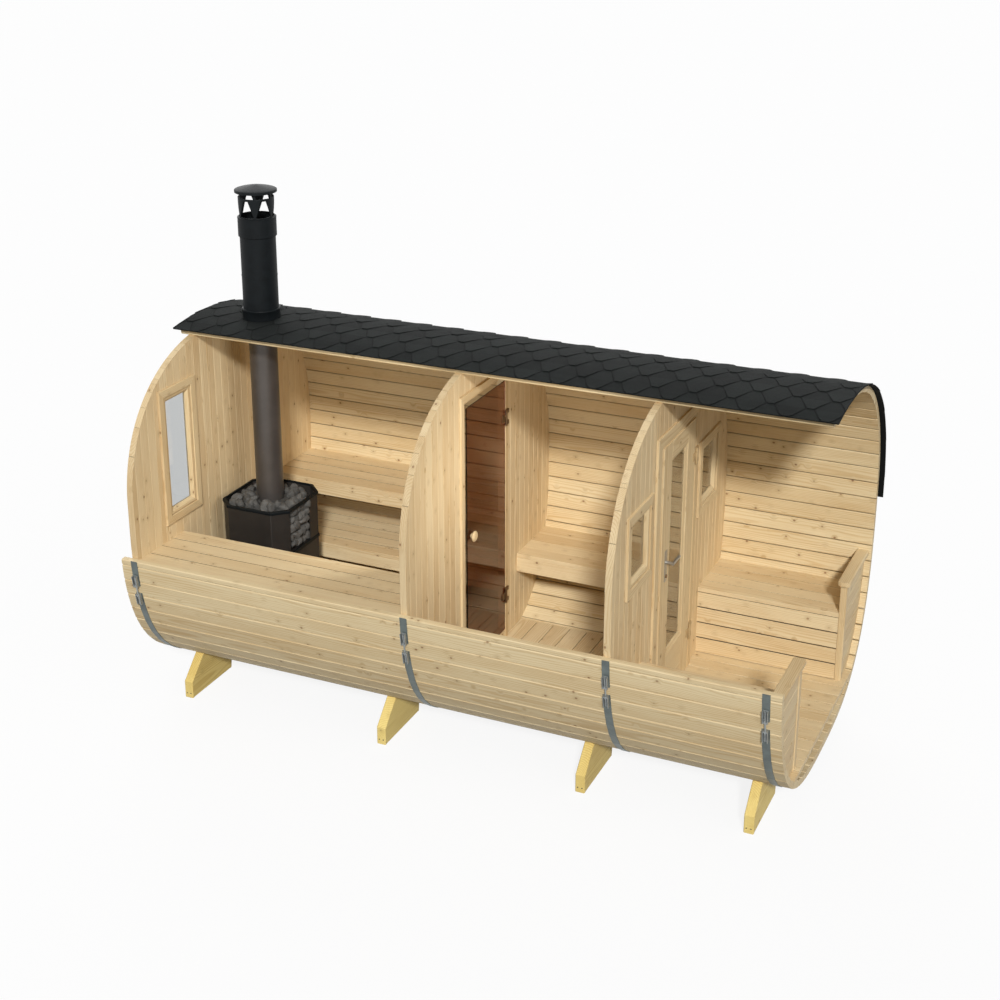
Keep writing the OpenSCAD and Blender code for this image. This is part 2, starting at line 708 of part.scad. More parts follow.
module flue_pipe() color(iron) translate([stove_x, 0, 0])
    tube(pocket_floor, chimney_top, flue_radius, flue_radius - flue_wall);

// The chimney stands on the shingles, its foot cut to the round of the roof
module chimney() color(iron) difference() {
    translate([stove_x, 0, 0]) {
        tube(axis_height, chimney_top, chimney_radius, flue_radius);
        tube(axis_height, chimney_base + chimney_foot, collar_radius, flue_radius);
    }
    along(left_end - 2*shingle_overhang, stave_length + 4*shingle_overhang)
        polygon([for (i = [0:ring_count - 1]) joint(i, shingle_low + shingle_thickness + seat_gap)]);
}

// Cowl: collar, ring of windows narrower above than below, and a domed cap on legs over a gap
window_low_share = 0.8;
window_high_share = 0.24;
window_turn_share = 0.325;
leg_turn_share = 0.825;
leg_inner_share = 0.75;
leg_outer_share = 0.25;
dome_step_share = 0.2;
cowl_wall = 8;
module cowl() color(iron) translate([stove_x, 0, chimney_top]) {
    difference() {
        union() {
            cylinder(h = collar_height, r = collar_radius);
            translate([0, 0, collar_height]) cylinder(h = cowl_ring, r = chimney_radius);
        }
        translate([0, 0, -overrun])
            cylinder(h = collar_height + cowl_ring + 2*overrun, r = chimney_radius - cowl_wall);
        for (n = [0:cowl_window_count - 1])
            rotate(360*(n + window_turn_share)/cowl_window_count) cowl_window();
    }
    for (n = [0:cowl_window_count - 1]) rotate(360*(n + leg_turn_share)/cowl_window_count)
        translate([0, 0, collar_height + cowl_ring])
            block([chimney_radius - cowl_wall*leg_inner_share, -cowl_leg/2, -cowl_band/2],
                [chimney_radius - cowl_wall*leg_outer_share, cowl_leg/2, cowl_gap]);
    translate([0, 0, collar_height + cowl_ring + cowl_gap]) rotate_extrude() polygon(concat(
        [[0, 0], [cap_radius, 0], [cap_radius, cap_rim]],
        [for (t = [dome_step_share:dome_step_share:1]) [cap_radius*sqrt(1 - t*t), cap_rim + cap_rise*t]]));
}
module cowl_window() {
    arc = 2*PI*chimney_radius/cowl_window_count;
    height = cowl_ring - cowl_sill - cowl_band;
    translate([0, 0, collar_height + cowl_sill]) rotate([90, 0, 90])
        linear_extrude(collar_radius + overrun) polygon([
            [-arc*window_low_share/2, 0], [arc*window_low_share/2, 0],
            [arc*window_high_share/2, height], [-arc*window_high_share/2, height]]);
}

cradle_1();
cradle_2();
cradle_3();
cradle_4();
staves_near();
staves_bottom();
staves_far_low();
staves_far_high();
staves_roof();
roof_shingles();
band_1();
band_2();
band_3();
band_4();
gable_wall();
gable_window_frame();
gable_window_glass();
partition_wall();
sauna_door_frame();
sauna_door();
sauna_door_hinges();
sauna_door_knob();
sauna_frame_hinges();
front_wall();
front_door_frame();
front_frame_hinges();
front_door_leaf();
front_door_glass();
front_door_fittings();
front_window_near_frame();
front_window_near_glass();
front_window_far_frame();
front_window_far_glass();
sauna_floor();
changing_floor();
porch_floor_boards();
sauna_bench_far();
sauna_bench_near();
sauna_step();
changing_seat();
porch_seat_far();
porch_seat_near();
railing_far();
railing_near();
stove_body();
stove_stones();
flue_pipe();
chimney();
cowl();
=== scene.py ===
"""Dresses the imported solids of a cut-away barrel sauna with boards, shingles, fittings and finishes.

Metres: X runs along the barrel towards the porch, Y away from the open side, Z up.
"""
import math

import bmesh
import bpy
import numpy as np
from bpy.props import FloatProperty, FloatVectorProperty, PointerProperty
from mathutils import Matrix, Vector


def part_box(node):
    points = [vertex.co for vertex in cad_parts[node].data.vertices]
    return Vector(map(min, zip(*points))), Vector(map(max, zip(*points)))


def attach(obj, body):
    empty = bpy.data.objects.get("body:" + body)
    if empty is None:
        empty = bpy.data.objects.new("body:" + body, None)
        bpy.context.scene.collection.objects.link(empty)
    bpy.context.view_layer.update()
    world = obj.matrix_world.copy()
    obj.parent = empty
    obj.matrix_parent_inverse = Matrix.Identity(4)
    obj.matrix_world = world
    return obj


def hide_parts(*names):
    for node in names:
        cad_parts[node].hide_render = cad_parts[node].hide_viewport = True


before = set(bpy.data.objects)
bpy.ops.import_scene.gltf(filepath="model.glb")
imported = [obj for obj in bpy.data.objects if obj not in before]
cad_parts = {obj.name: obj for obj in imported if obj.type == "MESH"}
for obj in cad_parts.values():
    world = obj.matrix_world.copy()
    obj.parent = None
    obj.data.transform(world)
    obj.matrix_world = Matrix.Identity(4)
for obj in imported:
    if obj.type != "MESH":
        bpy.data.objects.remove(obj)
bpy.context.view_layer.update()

bl_info = {
    "name": "Barrel sauna",
    "version": (1, 0, 0),
    "blender": (4, 5, 0),
    "location": "View3D > Sidebar > Sauna",
    "description": "Boards, shingles, fittings and finishes of a cut-away barrel sauna",
    "category": "Object",
}

X, Y, Z = 0, 1, 2
HOUSE = "house"
GLASS_DOOR = "sauna_door_body"
FRONT_DOOR = "front_door_body"
SHARP = math.radians(38)
FLAT = math.radians(1)
ROUND = 96
BACKWARDS = [0, 3, 2, 1]


# Settings

def screen(red, green, blue):
    """Scene-linear colour of the 0 to 255 values seen on a screen."""
    values = np.array([red, green, blue]) / 255
    return tuple(np.where(values <= 0.04045, values / 12.92, ((values + 0.055) / 1.055) ** 2.4).tolist())


def length(name, text, value):
    return FloatProperty(name=name, description=text, default=value, min=0, unit="LENGTH", precision=4)


def number(name, text, value):
    return FloatProperty(name=name, description=text, default=value)


def colour(name, text, red, green, blue):
    return FloatVectorProperty(name=name, description=text, size=3, subtype="COLOR", min=0, max=1,
                               default=screen(red, green, blue))


class BarrelSettings(bpy.types.PropertyGroup):
    half_width: length("Half width", "Outside half width at the widest level", 1.06)
    upper_height: length("Upper height", "Outside height over the widest level", 0.945)
    lower_depth: length("Lower depth", "Outside depth under the widest level", 1.17)
    widest_level: length("Widest level", "Height of the widest level over the ground", 1.3)
    upper_roundness: number("Upper roundness", "Power of the upper half's curve", 2.25)
    lower_roundness: number("Lower roundness", "Power of the lower half's curve", 2.9)
    stave_thickness: length("Stave thickness", "Thickness of the staves", 0.04)
    stave_width: length("Stave width", "Width of a stave round the barrel", 0.102)
    stave_edge: length("Stave edge", "Bevel of the long edges of a stave", 0.0058)
    stave_gap: length("Stave gap", "Free joint between staves", 0.0016)
    first_share: number("First stave", "Share of the first stave left by the lower cut", 0.36)
    low_cut_drop: length("Lower cut", "Drop of the lower cut under the widest level", 0.3)
    top_cut_reach: length("Upper cut", "Reach of the roof past the mid plane", 0.307)
    strap_thickness: length("Strap thickness", "Thickness of the straps", 0.003)
    strap_width: length("Strap width", "Width of the straps", 0.043)


class BoardSettings(bpy.types.PropertyGroup):
    wall_pitch: length("Wall boards", "Pitch of the upright boards of the cross walls", 0.072)
    floor_pitch: length("Floor boards", "Pitch of the floor boards", 0.115)
    seat_pitch: length("Seat boards", "Pitch of the boards of seats and benches", 0.115)
    groove: length("Groove", "Rounding of the edges of wall boards", 0.0024)
    thickness: length("Thickness", "Thickness of floor and seat boards", 0.028)
    casing: length("Casing", "Width of the outer part of a window frame", 0.048)


class RoofSettings(bpy.types.PropertyGroup):
    pitch: length("Tab pitch", "Distance of shingle tabs along the roof", 0.2133)
    course: length("Course", "Height of a course of shingles", 0.129)
    first: length("First course", "Upper edge of the first course over the eave", 0.11)
    flat: length("Tab flat", "Half width of the lower edge of a tab", 0.022)
    shoulder: length("Tab shoulder", "Half width of a tab one course up", 0.085)
    lift: length("Tab lift", "Height of a tab's lower edge over the sheet", 0.0058)
    slit: length("Slit", "Free slit between tabs", 0.008)
    base: length("Sheet", "Thickness of the sheet under the tabs", 0.0045)
    seat: length("Seat", "Height of the sheet over the staves", 0.0032)


class FinishSettings(bpy.types.PropertyGroup):
    stave_pale: colour("Stave pale", "Early wood of the staves", 222, 203, 163)
    stave_deep: colour("Stave deep", "Late wood of the staves", 196, 166, 118)
    wall_pale: colour("Wall pale", "Early wood of the cross walls", 223, 201, 160)
    wall_deep: colour("Wall deep", "Late wood of the cross walls", 196, 164, 117)
    trim_pale: colour("Trim pale", "Early wood of frames and railings", 218, 196, 154)
    trim_deep: colour("Trim deep", "Late wood of frames and railings", 192, 160, 113)
    floor_pale: colour("Floor pale", "Early wood of the floors", 224, 204, 164)
    floor_deep: colour("Floor deep", "Late wood of the floors", 197, 167, 120)
    bench_pale: colour("Bench pale", "Early wood of the seats", 224, 204, 164)
    bench_deep: colour("Bench deep", "Late wood of the seats", 197, 166, 119)
    cradle_pale: colour("Cradle pale", "Early wood of the cradles", 236, 212, 134)
    cradle_deep: colour("Cradle deep", "Late wood of the cradles", 203, 171, 93)
    knot: colour("Knot", "Knots in the wood", 126, 86, 54)
    shingle: colour("Shingle", "Mineral face of the shingles", 23, 26, 25)
    strap: colour("Strap", "Dull zinc of the straps", 104, 112, 110)
    zinc: colour("Zinc", "Brackets and rods of the straps", 152, 156, 155)
    bright: colour("Bright steel", "Lever handle of the front door", 178, 177, 173)
    tan: colour("Tan steel", "Lacquered hinges of the front door", 182, 156, 114)
    bronze: colour("Bronze", "Hinges of the glass door", 122, 96, 68)
    iron: colour("Stove iron", "Heat-proof paint of the stove", 45, 41, 37)
    pipe: colour("Flue", "Flue pipe", 82, 77, 73)
    black: colour("Chimney black", "Heat-proof paint of the chimney", 13, 17, 19)
    stone: colour("Stone", "Stones of the stove", 86, 84, 80)
    clear: colour("Clear glass", "Tint of the window panes", 204, 206, 206)
    brown: colour("Brown glass", "Tint of the inner door", 164, 116, 94)


class StageSettings(bpy.types.PropertyGroup):
    sun: number("Sun", "Strength of the main light", 2.75)
    side: number("Side light", "Strength of the soft light from the porch end", 0.2)
    back: number("Back light", "Strength of the soft light on the far side", 0.7)
    sky: number("Sky", "Strength of the light from all round", 0.36)
    hot_room: number("Hot room light", "Watts of the soft panel in the hot room", 6.0)
    changing_room: number("Changing room light", "Watts of the soft panel in the changing room", 6.0)
    lens: number("Lens", "Focal length in millimetres on a 36 mm sensor", 60.39)
    shift: number("Shift", "Vertical shift of the camera", -0.10)


SETTINGS = {
    "sauna_barrel": BarrelSettings,
    "sauna_boards": BoardSettings,
    "sauna_roof": RoofSettings,
    "sauna_finish": FinishSettings,
    "sauna_stage": StageSettings,
}


# Finishes

class Value:
    """A socket in a node sheet; sums, differences and products of it add Math nodes."""

    def __init__(self, sheet, socket):
        self.sheet = sheet
        self.socket = socket

    def out(self, key):
        return Value(self.sheet, self.socket.node.outputs[key])

    def math(self, operation, *others):
        return self.sheet.node("ShaderNodeMath", {"operation": operation}, dict(enumerate((self, *others))))

    def __add__(self, other):
        return self.math("ADD", other)

    def __sub__(self, other):
        return self.math("SUBTRACT", other)

    def __mul__(self, other):
        return self.math("MULTIPLY", other)

    def __rsub__(self, other):
        return self.sheet.node("ShaderNodeMath", {"operation": "SUBTRACT"}, {0: other, 1: self})

    __radd__ = __add__
    __rmul__ = __mul__

    def step(self, low, high):
        """Smooth step from 0 at low to 1 at high; falls where low is over high."""
        rising = low < high
        ends = {1: min(low, high), 2: max(low, high), 3: 0.0 if rising else 1.0, 4: 1.0 if rising else 0.0}
        return self.sheet.node("ShaderNodeMapRange", {"interpolation_type": "SMOOTHSTEP"}, {0: self, **ends})


class Sheet:
    """The node sheet of one finish."""

    def __init__(self, name):
        self.finish = bpy.data.materials.new(name)
        self.finish.use_nodes = True
        self.tree = self.finish.node_tree
        self.tree.nodes.clear()

    def node(self, kind, settings=None, sockets=None, out=0):
        """Adds a node, sets its settings, then its sockets, and gives one of its outputs."""
        node = self.tree.nodes.new(kind)
        for key, setting in (settings or {}).items():
            setattr(node, key, setting)
        for key, value in (sockets or {}).items():
            if isinstance(value, Value):
                self.tree.links.new(value.socket, node.inputs[key])
            else:
                node.inputs[key].default_value = value
        return Value(self, node.outputs[out]) if len(node.outputs) else None

    def mark(self, name, out):
        return self.node("ShaderNodeAttribute", {"attribute_name": name}, out=out)

    def place(self):
        return self.node("ShaderNodeTexCoord", out="Object")

    def stretch(self, vector, *scale):
        return self.node("ShaderNodeVectorMath", {"operation": "MULTIPLY"}, {0: vector, 1: scale})

    def noise(self, vector, scale, detail=2.0, roughness=0.5):
        return self.node("ShaderNodeTexNoise", None,
                         {"Vector": vector, "Scale": scale, "Detail": detail, "Roughness": roughness})

    def cells(self, vector, scale, out="Distance"):
        return self.node("ShaderNodeTexVoronoi", None, {"Vector": vector, "Scale": scale}, out)

    def blend(self, share, first, second, kind="MIX"):
        """Mix of two colours: first where share is 0, second where it is 1."""
        first, second = self.opaque(first), self.opaque(second)
        return self.node("ShaderNodeMix", {"data_type": "RGBA", "blend_type": kind},
                         {0: share, 6: first, 7: second}, 2)

    def opaque(self, value):
        """A plain colour with its fourth part; a socket stays as it is."""
        return (*value, 1) if isinstance(value, tuple) else value

    def bump(self, height, strength, distance):
        return self.node("ShaderNodeBump", None,
                         {"Height": height, "Strength": strength, "Distance": distance})

    def close(self, sockets):
        sockets = {key: self.opaque(value) for key, value in sockets.items()}
        shader = self.node("ShaderNodeBsdfPrincipled", None, sockets)
        self.node("ShaderNodeOutputMaterial", None, {"Surface": shader})
        return self.finish


def tint(key, share=1.0):
    """A colour of the settings, darker or paler by share."""
    return tuple(share * part for part in getattr(bpy.context.scene.sauna_finish, key))


def pine(name, wood, joint=0.6):
    """Sawn pine. Rings are a sine of the distance from the pith, bent by slow noise and round the knots;
    fibres are noise drawn out along the board; each board has a tone of its own, and painted shade darkens
    its joints."""
    ring_pitch, knot_density = 0.0085, 12.0
    pale, deep = wood + "_pale", wood + "_deep"
    sheet = Sheet(name)
    grain = sheet.mark("grain", "Vector")
    tone = sheet.mark("tone", "Fac")
    seam = sheet.mark("seam", "Fac").step(0.35, 1.0)
    wave = sheet.noise(sheet.stretch(grain, 0.9, 5, 5), 1.0, 2.0)
    knots = sheet.cells(sheet.stretch(grain, 0.8, 1, 1), knot_density)
    knot = knots.step(0.105, 0.045)
    halo = knots.step(0.34, 0.06)
    across = sheet.node("ShaderNodeVectorMath", {"operation": "LENGTH"},
                        {0: sheet.stretch(grain, 0, 1, 1)}, "Value")
    rings = ((across + wave * 0.05 + halo * 0.007) * (2 * math.pi / ring_pitch)).math("SINE")
    late = rings.step(-0.1, 1.0)
    fibre = sheet.noise(sheet.stretch(grain, 5, 210, 210), 1.0, 3.0, 0.65)
    patch = sheet.noise(sheet.stretch(grain, 1.6, 9, 9), 1.0, 2.0)
    share = late * 0.42 + fibre.step(0.35, 0.75) * 0.34 + patch.step(0.35, 0.75) * 0.30 + tone * 0.19
    face = sheet.blend(share.math("MAXIMUM", 0.0).math("MINIMUM", 1.0), tint(pale), tint(deep))
    face = sheet.blend(fibre.step(0.60, 0.82) * late * 0.35, face, tint(deep, 0.62))
    face = sheet.blend(halo * 0.28, face, tint(deep, 0.72))
    face = sheet.blend(knot * (0.4 + patch * 0.75), face, tint("knot"))
    # Painted shade in the joints: the joint mark blends the wood towards a near-black brown, as strong as
    # joint.
    face = sheet.blend(seam * joint, face, tint(deep, 0.2))
    height = fibre * 0.6 + late * 0.5 - knot * 0.6
    return sheet.close({"Base Color": face, "Roughness": 0.44 + fibre * 0.22 + late * 0.06,
                        "Normal": sheet.bump(height, 0.22, 0.0012), "Specular IOR Level": 0.35})


def shingle_face(name):
    """Bitumen with mineral grains: fine cells of lighter and darker grit, clouds and a tone for each tab."""
    sheet = Sheet(name)
    place = sheet.place()
    tone = sheet.mark("tone", "Fac")
    grit = sheet.cells(place, 420, "Color")
    speck = sheet.noise(place, 900, 2.0, 0.7)
    cloud = sheet.noise(place, 3.5, 3.0)
    share = speck.step(0.3, 0.75) * 0.5 + cloud.step(0.3, 0.7) * 0.25 + tone * 0.18 + 0.12
    face = sheet.blend(share, tint("shingle", 0.3), tint("shingle", 1.75))
    face = sheet.blend(0.16, face, grit, "SOFT_LIGHT")
    return sheet.close({"Base Color": face, "Roughness": 0.8 + speck * 0.15,
                        "Normal": sheet.bump(speck, 0.5, 0.002), "Specular IOR Level": 0.15})


def metal(name, key, rough, metallic, spread=0.25, size=14.0, relief=0.06, gloss=0.5):
    """Steel or paint on steel: clouds and fine specks shift its colour and gloss."""
    sheet = Sheet(name)
    place = sheet.place()
    cloud = sheet.noise(place, size, 4.0, 0.6)
    speck = sheet.noise(place, size * 40, 2.0, 0.6)
    share = cloud.step(0.3, 0.7) * 0.7 + speck.step(0.35, 0.7) * 0.3
    face = sheet.blend(share, tint(key, 1 - spread), tint(key, 1 + spread))
    return sheet.close({"Base Color": face, "Metallic": metallic,
                        "Roughness": rough - 0.06 + cloud * 0.08 + speck * 0.06,
                        "Normal": sheet.bump(speck * 0.6 + cloud * 0.4, relief, 0.001),
                        "Specular IOR Level": gloss})


def stone_face(name):
    """Broken stone: coarse and fine clouds and a tone for each stone."""
    sheet = Sheet(name)
    place = sheet.place()
    tone = sheet.mark("tone", "Fac")
    cloud = sheet.noise(place, 22, 5.0, 0.65)
    fine = sheet.noise(place, 160, 3.0, 0.7)
    share = cloud.step(0.3, 0.7) * 0.5 + fine.step(0.3, 0.7) * 0.3 + tone * 0.22 + 0.1
    face = sheet.blend(share, tint("stone", 0.42), tint("stone", 1.2))
    return sheet.close({"Base Color": face, "Roughness": 0.68 + fine * 0.25,
                        "Normal": sheet.bump(cloud * 0.7 + fine * 0.3, 0.55, 0.006)})


def glass(name, key):
    """Plane glass, with a very faint unevenness of its gloss."""
    sheet = Sheet(name)
    haze = sheet.noise(sheet.place(), 5.0, 2.0)
    return sheet.close({"Base Color": tint(key), "Roughness": haze * 0.03, "IOR": 1.45,
                        "Transmission Weight": 1.0})


# Each finish: its maker, then what the maker takes after the name.
MAKERS = {
    "stave_pine": (pine, "stave"),
    "wall_pine": (pine, "wall"),
    "trim_pine": (pine, "trim"),
    "floor_pine": (pine, "floor"),
    # Seats get stronger painted shade in their joints.
    "bench_pine": (pine, "bench", 0.9),
    "cradle_pine": (pine, "cradle"),
    "shingle": (shingle_face,),
    "band_steel": (metal, "strap", 0.42, 0.55),
    "zinc": (metal, "zinc", 0.4, 0.6, 0.12),
    "bright_steel": (metal, "bright", 0.34, 0.85, 0.08),
    "tan_steel": (metal, "tan", 0.5, 0.2, 0.1),
    "bronze": (metal, "bronze", 0.38, 0.8, 0.12),
    "stove_iron": (metal, "iron", 0.5, 0.25, 0.2, 9.0, 0.15),
    "flue_grey": (metal, "pipe", 0.36, 0.45, 0.12, 6.0, 0.05),
    "chimney_black": (metal, "black", 0.52, 0.0, 0.35, 16.0, 0.12, 0.16),
    "stove_stone": (stone_face,),
    "clear_glass": (glass, "clear"),
    "brown_glass": (glass, "brown"),
}
FINISHES = {}


def finish(name):
    if name not in FINISHES:
        maker, *settings = MAKERS[name]
        FINISHES[name] = maker("sauna_" + name, *settings)
    return FINISHES[name]


# Shapes

def add_piece(name, points, faces, slot, material=None, body=HOUSE, stands_for=(), smooth=False, weld=False,
              **marks):
    """Puts a grid of points and its four-cornered faces into a mesh that rides on a body."""
    points = np.asarray(points, np.float32).reshape(-1, 3)
    faces = np.asarray(faces, np.int32).reshape(-1, 4)
    mesh = bpy.data.meshes.new(name)
    mesh.vertices.add(len(points))
    mesh.vertices.foreach_set("co", points.ravel())
    mesh.loops.add(faces.size)
    mesh.loops.foreach_set("vertex_index", faces.ravel())
    mesh.polygons.add(len(faces))
    mesh.polygons.foreach_set("loop_start", np.arange(0, faces.size, 4, dtype=np.int32))
    for key, values in marks.items():
        values = np.asarray(values, np.float32)
        vector = values.ndim > 1 and values.shape[-1] == 3
        mark = mesh.attributes.new(key, "FLOAT_VECTOR" if vector else "FLOAT", "POINT")
        mark.data.foreach_set("vector" if vector else "value", values.ravel())
    mesh.update(calc_edges=True)
    if weld:
        merge_doubles(mesh)
    mesh.polygons.foreach_set("use_smooth", np.full(len(mesh.polygons), bool(smooth)))
    if smooth:
        mesh.set_sharp_from_angle(angle=SHARP)
    mesh.update()
    return set_piece(name, mesh, slot, material, body, stands_for)


def merge_doubles(mesh, near=1e-6, flat=0.0):
    """Merges points nearer than near; flat joins faces that lie within that angle."""
    work = bmesh.new()
    work.from_mesh(mesh)
    bmesh.ops.remove_doubles(work, verts=work.verts, dist=near)
    bmesh.ops.dissolve_degenerate(work, edges=work.edges, dist=1e-7)
    if flat:
        bmesh.ops.dissolve_limit(work, angle_limit=flat, verts=work.verts, edges=work.edges)
    work.to_mesh(mesh)
    work.free()


def set_piece(name, mesh, slot, material=None, body=HOUSE, stands_for=()):
    mesh.materials.append(finish(material or slot))
    piece = bpy.data.objects.new(name, mesh)
    bpy.context.scene.collection.objects.link(piece)
    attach(piece, body)
    if stands_for:
        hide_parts(*stands_for)
    return piece


def set_finish(node, name):
    """Gives a solid of the frame one finish."""
    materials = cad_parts[node].data.materials
    materials.clear()
    materials.append(finish(name))


def softened_copy(name, node, slot, material, body, edge):
    """A merged copy of a solid, with its sharp edges rounded by a bevel."""
    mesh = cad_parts[node].data.copy()
    mesh.name = name
    mesh.materials.clear()
    merge_doubles(mesh, 1e-5, FLAT)
    mesh.polygons.foreach_set("use_smooth", np.full(len(mesh.polygons), True))
    mesh.set_sharp_from_angle(angle=SHARP)
    piece = set_piece(name, mesh, slot, material, body, (node,))
    bevel = piece.modifiers.new("edges", "BEVEL")
    bevel.width, bevel.segments, bevel.limit_method = edge, 2, "ANGLE"
    bevel.angle_limit = SHARP
    return piece


def grid_faces(rows, columns, round_rows=False, round_columns=True):
    """Faces between neighbours in a grid of points, as [row, column, corner]; a round way joins its last
    points to its first."""
    i, j = np.meshgrid(np.arange(rows - (not round_rows)), np.arange(columns - (not round_columns)),
                       indexing="ij")
    here, over, n = i * columns, (i + 1) % rows * columns, (j + 1) % columns
    return np.stack([here + j, here + n, over + n, over + j], -1)


def tube_faces(count, stations, rails):
    """Faces of closed sections carried over stations; a lid pairs rail i with rail (rails - 1 - i)."""
    one = grid_faces(stations, rails).reshape(-1, 4)
    i = np.arange(rails // 2 - 1)
    lid = np.stack([i, rails - 1 - i, rails - 2 - i, i + 1], -1)
    one = np.concatenate([one, lid, (stations - 1) * rails + lid[:, ::-1]])
    return one[None] + (np.arange(count) * stations * rails)[:, None, None]


def outward(points, faces):
    """Turns the faces of each shape whose signed volume, the sum of a.(b x c + c x d), is below zero."""
    corners = points.reshape(-1, 3)[faces]
    corners = corners - corners.mean(axis=(1, 2), keepdims=True)
    a, b, c, d = (corners[:, :, i] for i in range(4))
    volume = (a * (np.cross(b, c) + np.cross(c, d))).sum(axis=(1, 2))
    return np.where(volume[:, None, None] < 0, faces[..., ::-1], faces)


def board_rings(front_a, front_b, back_a, back_b, edge, splits=1, steps=2):
    """Sections of boards. A front and a back line join two corners each; towards a corner the line runs in
    by edge (1 - cos t) while it falls by edge (1 - sin t), a quarter round. The two lines make one ring."""
    most_share = 0.4
    ends = [np.atleast_2d(np.asarray(corner, float)) for corner in (front_a, front_b, back_a, back_b)]
    count = max(len(end) for end in ends)
    fa, fb, ba, bb = (np.broadcast_to(end, (count, 2)) for end in ends)
    turn = np.linspace(0, np.pi / 2, steps + 1)
    inner = np.arange(1, splits) / splits
    share = np.concatenate([0 * turn, inner, 0 * turn + 1])
    run = np.concatenate([1 - np.cos(turn), 0 * inner + 1, 1 + np.cos(turn)[::-1]])
    fall = np.concatenate([1 - np.sin(turn), 0 * inner, 1 - np.sin(turn)[::-1]])
    depth = (ba + bb - fa - fb) / 2
    thick = np.linalg.norm(depth, axis=1, keepdims=True)
    towards = depth / thick

    def line(a, b, way):
        span = np.linalg.norm(b - a, axis=1, keepdims=True)
        soft = np.minimum(edge, most_share * np.minimum(span, thick))
        along = soft * run + share * (span - 2 * soft)
        place = a[:, None] + ((b - a) / span)[:, None] * along[..., None]
        return place + way[:, None] * (soft * fall)[..., None]

    return np.concatenate([line(fa, fb, towards), line(ba, bb, -towards)[:, ::-1]], axis=1)


def pairs(first, second):
    """Points in a plane from two lines of numbers; a single number stands for a whole line."""
    return np.stack(np.broadcast_arrays(np.asarray(first, float), np.asarray(second, float)), -1)


def upright(front, back, start, end, edge, splits=1):
    """Sections of upright boards of points (depth, place), from start to end at the depths front and back."""
    corners = [pairs(depth, place) for depth in (front, back) for place in (start, end)]
    return board_rings(*corners, edge, splits)


def level(top, under, start, end, edge, splits=1):
    """Sections of level boards of points (place, height), from start to end at the heights top and under."""
    corners = [pairs(place, height) for height in (top, under) for place in (start, end)]
    return board_rings(*corners, edge, splits)


def joint_sides(rings, first=1, last=1):
    """1 on the rails beside a board's neighbours, the ends of its front and back lines, and 0 on the others,
    marking where painted shade darkens the joints; first and last are the values on the free edges of the
    whole row."""
    count, rails, _ = rings.shape
    half = rails // 2
    sides = np.zeros((count, rails))
    sides[:, [0, half - 1, half, -1]] = 1
    if not first:
        sides[0, [0, -1]] = 0
    if not last:
        sides[-1, [half - 1, half]] = 0
    return sides


class Boards:
    """Gathers boards into one piece, each with a grain of its own round a pith beside it."""
    pith_reach = (0.015, 0.08)
    log_length = 50

    def __init__(self, seed):
        self.dice = np.random.default_rng(seed)
        self.points, self.faces, self.grain, self.tone, self.seam = [], [], [], [], []
        self.size = 0

    def put(self, points, axes, seam=0.0):
        """Takes [board, station, rail, xyz] points; axes are the long axis and the two across. Joint shade is
        how much painted shade darkens the joints beside the board, for all rails or for each."""
        count, stations, rails, _ = points.shape
        faces = outward(points, tube_faces(count, stations, rails))
        centre = points.mean(axis=(1, 2), keepdims=True)
        side = self.dice.choice([-1, 1], (count, 1, 1, 2))
        side = side * self.dice.uniform(*self.pith_reach, (count, 1, 1, 2))
        grain = np.empty_like(points)
        grain[..., 0] = points[..., axes[0]] + self.dice.uniform(0, self.log_length, (count, 1, 1))
        grain[..., 1:] = (points - centre)[..., list(axes[1:])] + side
        tone = np.broadcast_to(self.dice.uniform(-1, 1, (count, 1, 1)), (count, stations, rails))
        self.faces.append(faces.reshape(-1, 4) + self.size)
        self.points.append(points.reshape(-1, 3))
        self.grain.append(grain.reshape(-1, 3))
        self.tone.append(tone.ravel())
        shade_by_rail = np.broadcast_to(np.asarray(seam, float), (count, rails))[:, None]
        self.seam.append(np.broadcast_to(shade_by_rail, (count, stations, rails)).ravel())
        self.size += points.size // 3

    def carry(self, rings, low, high, axes, seam=0.0):
        """Carries each ring straight from low to high along axes[0]; every rail may have ends of its own."""
        count, rails, _ = rings.shape
        points = np.empty((count, 2, rails, 3))
        points[:, 0, :, axes[0]] = np.broadcast_to(low, (count, rails))
        points[:, 1, :, axes[0]] = np.broadcast_to(high, (count, rails))
        points[..., axes[1]] = rings[:, None, :, 0]
        points[..., axes[2]] = rings[:, None, :, 1]
        self.put(points, axes, seam)

    def bars(self, ring, low, high, sides="lrbt"):
        """Four mitred bars round a hole: each ring point lies at depth x and distance c inside the outer
        edge, and runs between the hole's edges drawn in by c."""
        depth, c = ring[..., 0], ring[..., 1]
        (y0, z0), (y1, z1) = low, high
        foot = c if "b" in sides else 0 * c
        for side in sides:
            if side in "lr":
                place = y0 + c if side == "l" else y1 - c
                self.carry(np.stack([depth, place], -1), z0 + foot, z1 - c, (Z, X, Y))
            else:
                place = z0 + c if side == "b" else z1 - c
                self.carry(np.stack([depth, place], -1), y0 + c, y1 - c, (Y, X, Z))

    def plank(self, low, high, axis, edge, seam=0.0):
        """One straight board in the box from low to high, its length along axis."""
        others = [i for i in (X, Y, Z) if i != axis]
        lo, hi = np.array(low)[others], np.array(high)[others]
        wide = 0 if hi[0] - lo[0] > hi[1] - lo[1] else 1
        front_a, front_b = np.array(lo), np.array(lo)
        front_b[wide] = hi[wide]
        back_a, back_b = np.array(front_a), np.array(front_b)
        back_a[1 - wide] = back_b[1 - wide] = hi[1 - wide]
        rings = board_rings(front_a, front_b, back_a, back_b, edge)
        self.carry(rings, low[axis], high[axis], (axis, *others), seam * joint_sides(rings))

    def piece(self, name, slot, stands_for=(), body=HOUSE):
        return add_piece(name, np.concatenate(self.points), np.concatenate(self.faces), slot, None, body,
                         stands_for, grain=np.concatenate(self.grain), tone=np.concatenate(self.tone),
                         seam=np.concatenate(self.seam))


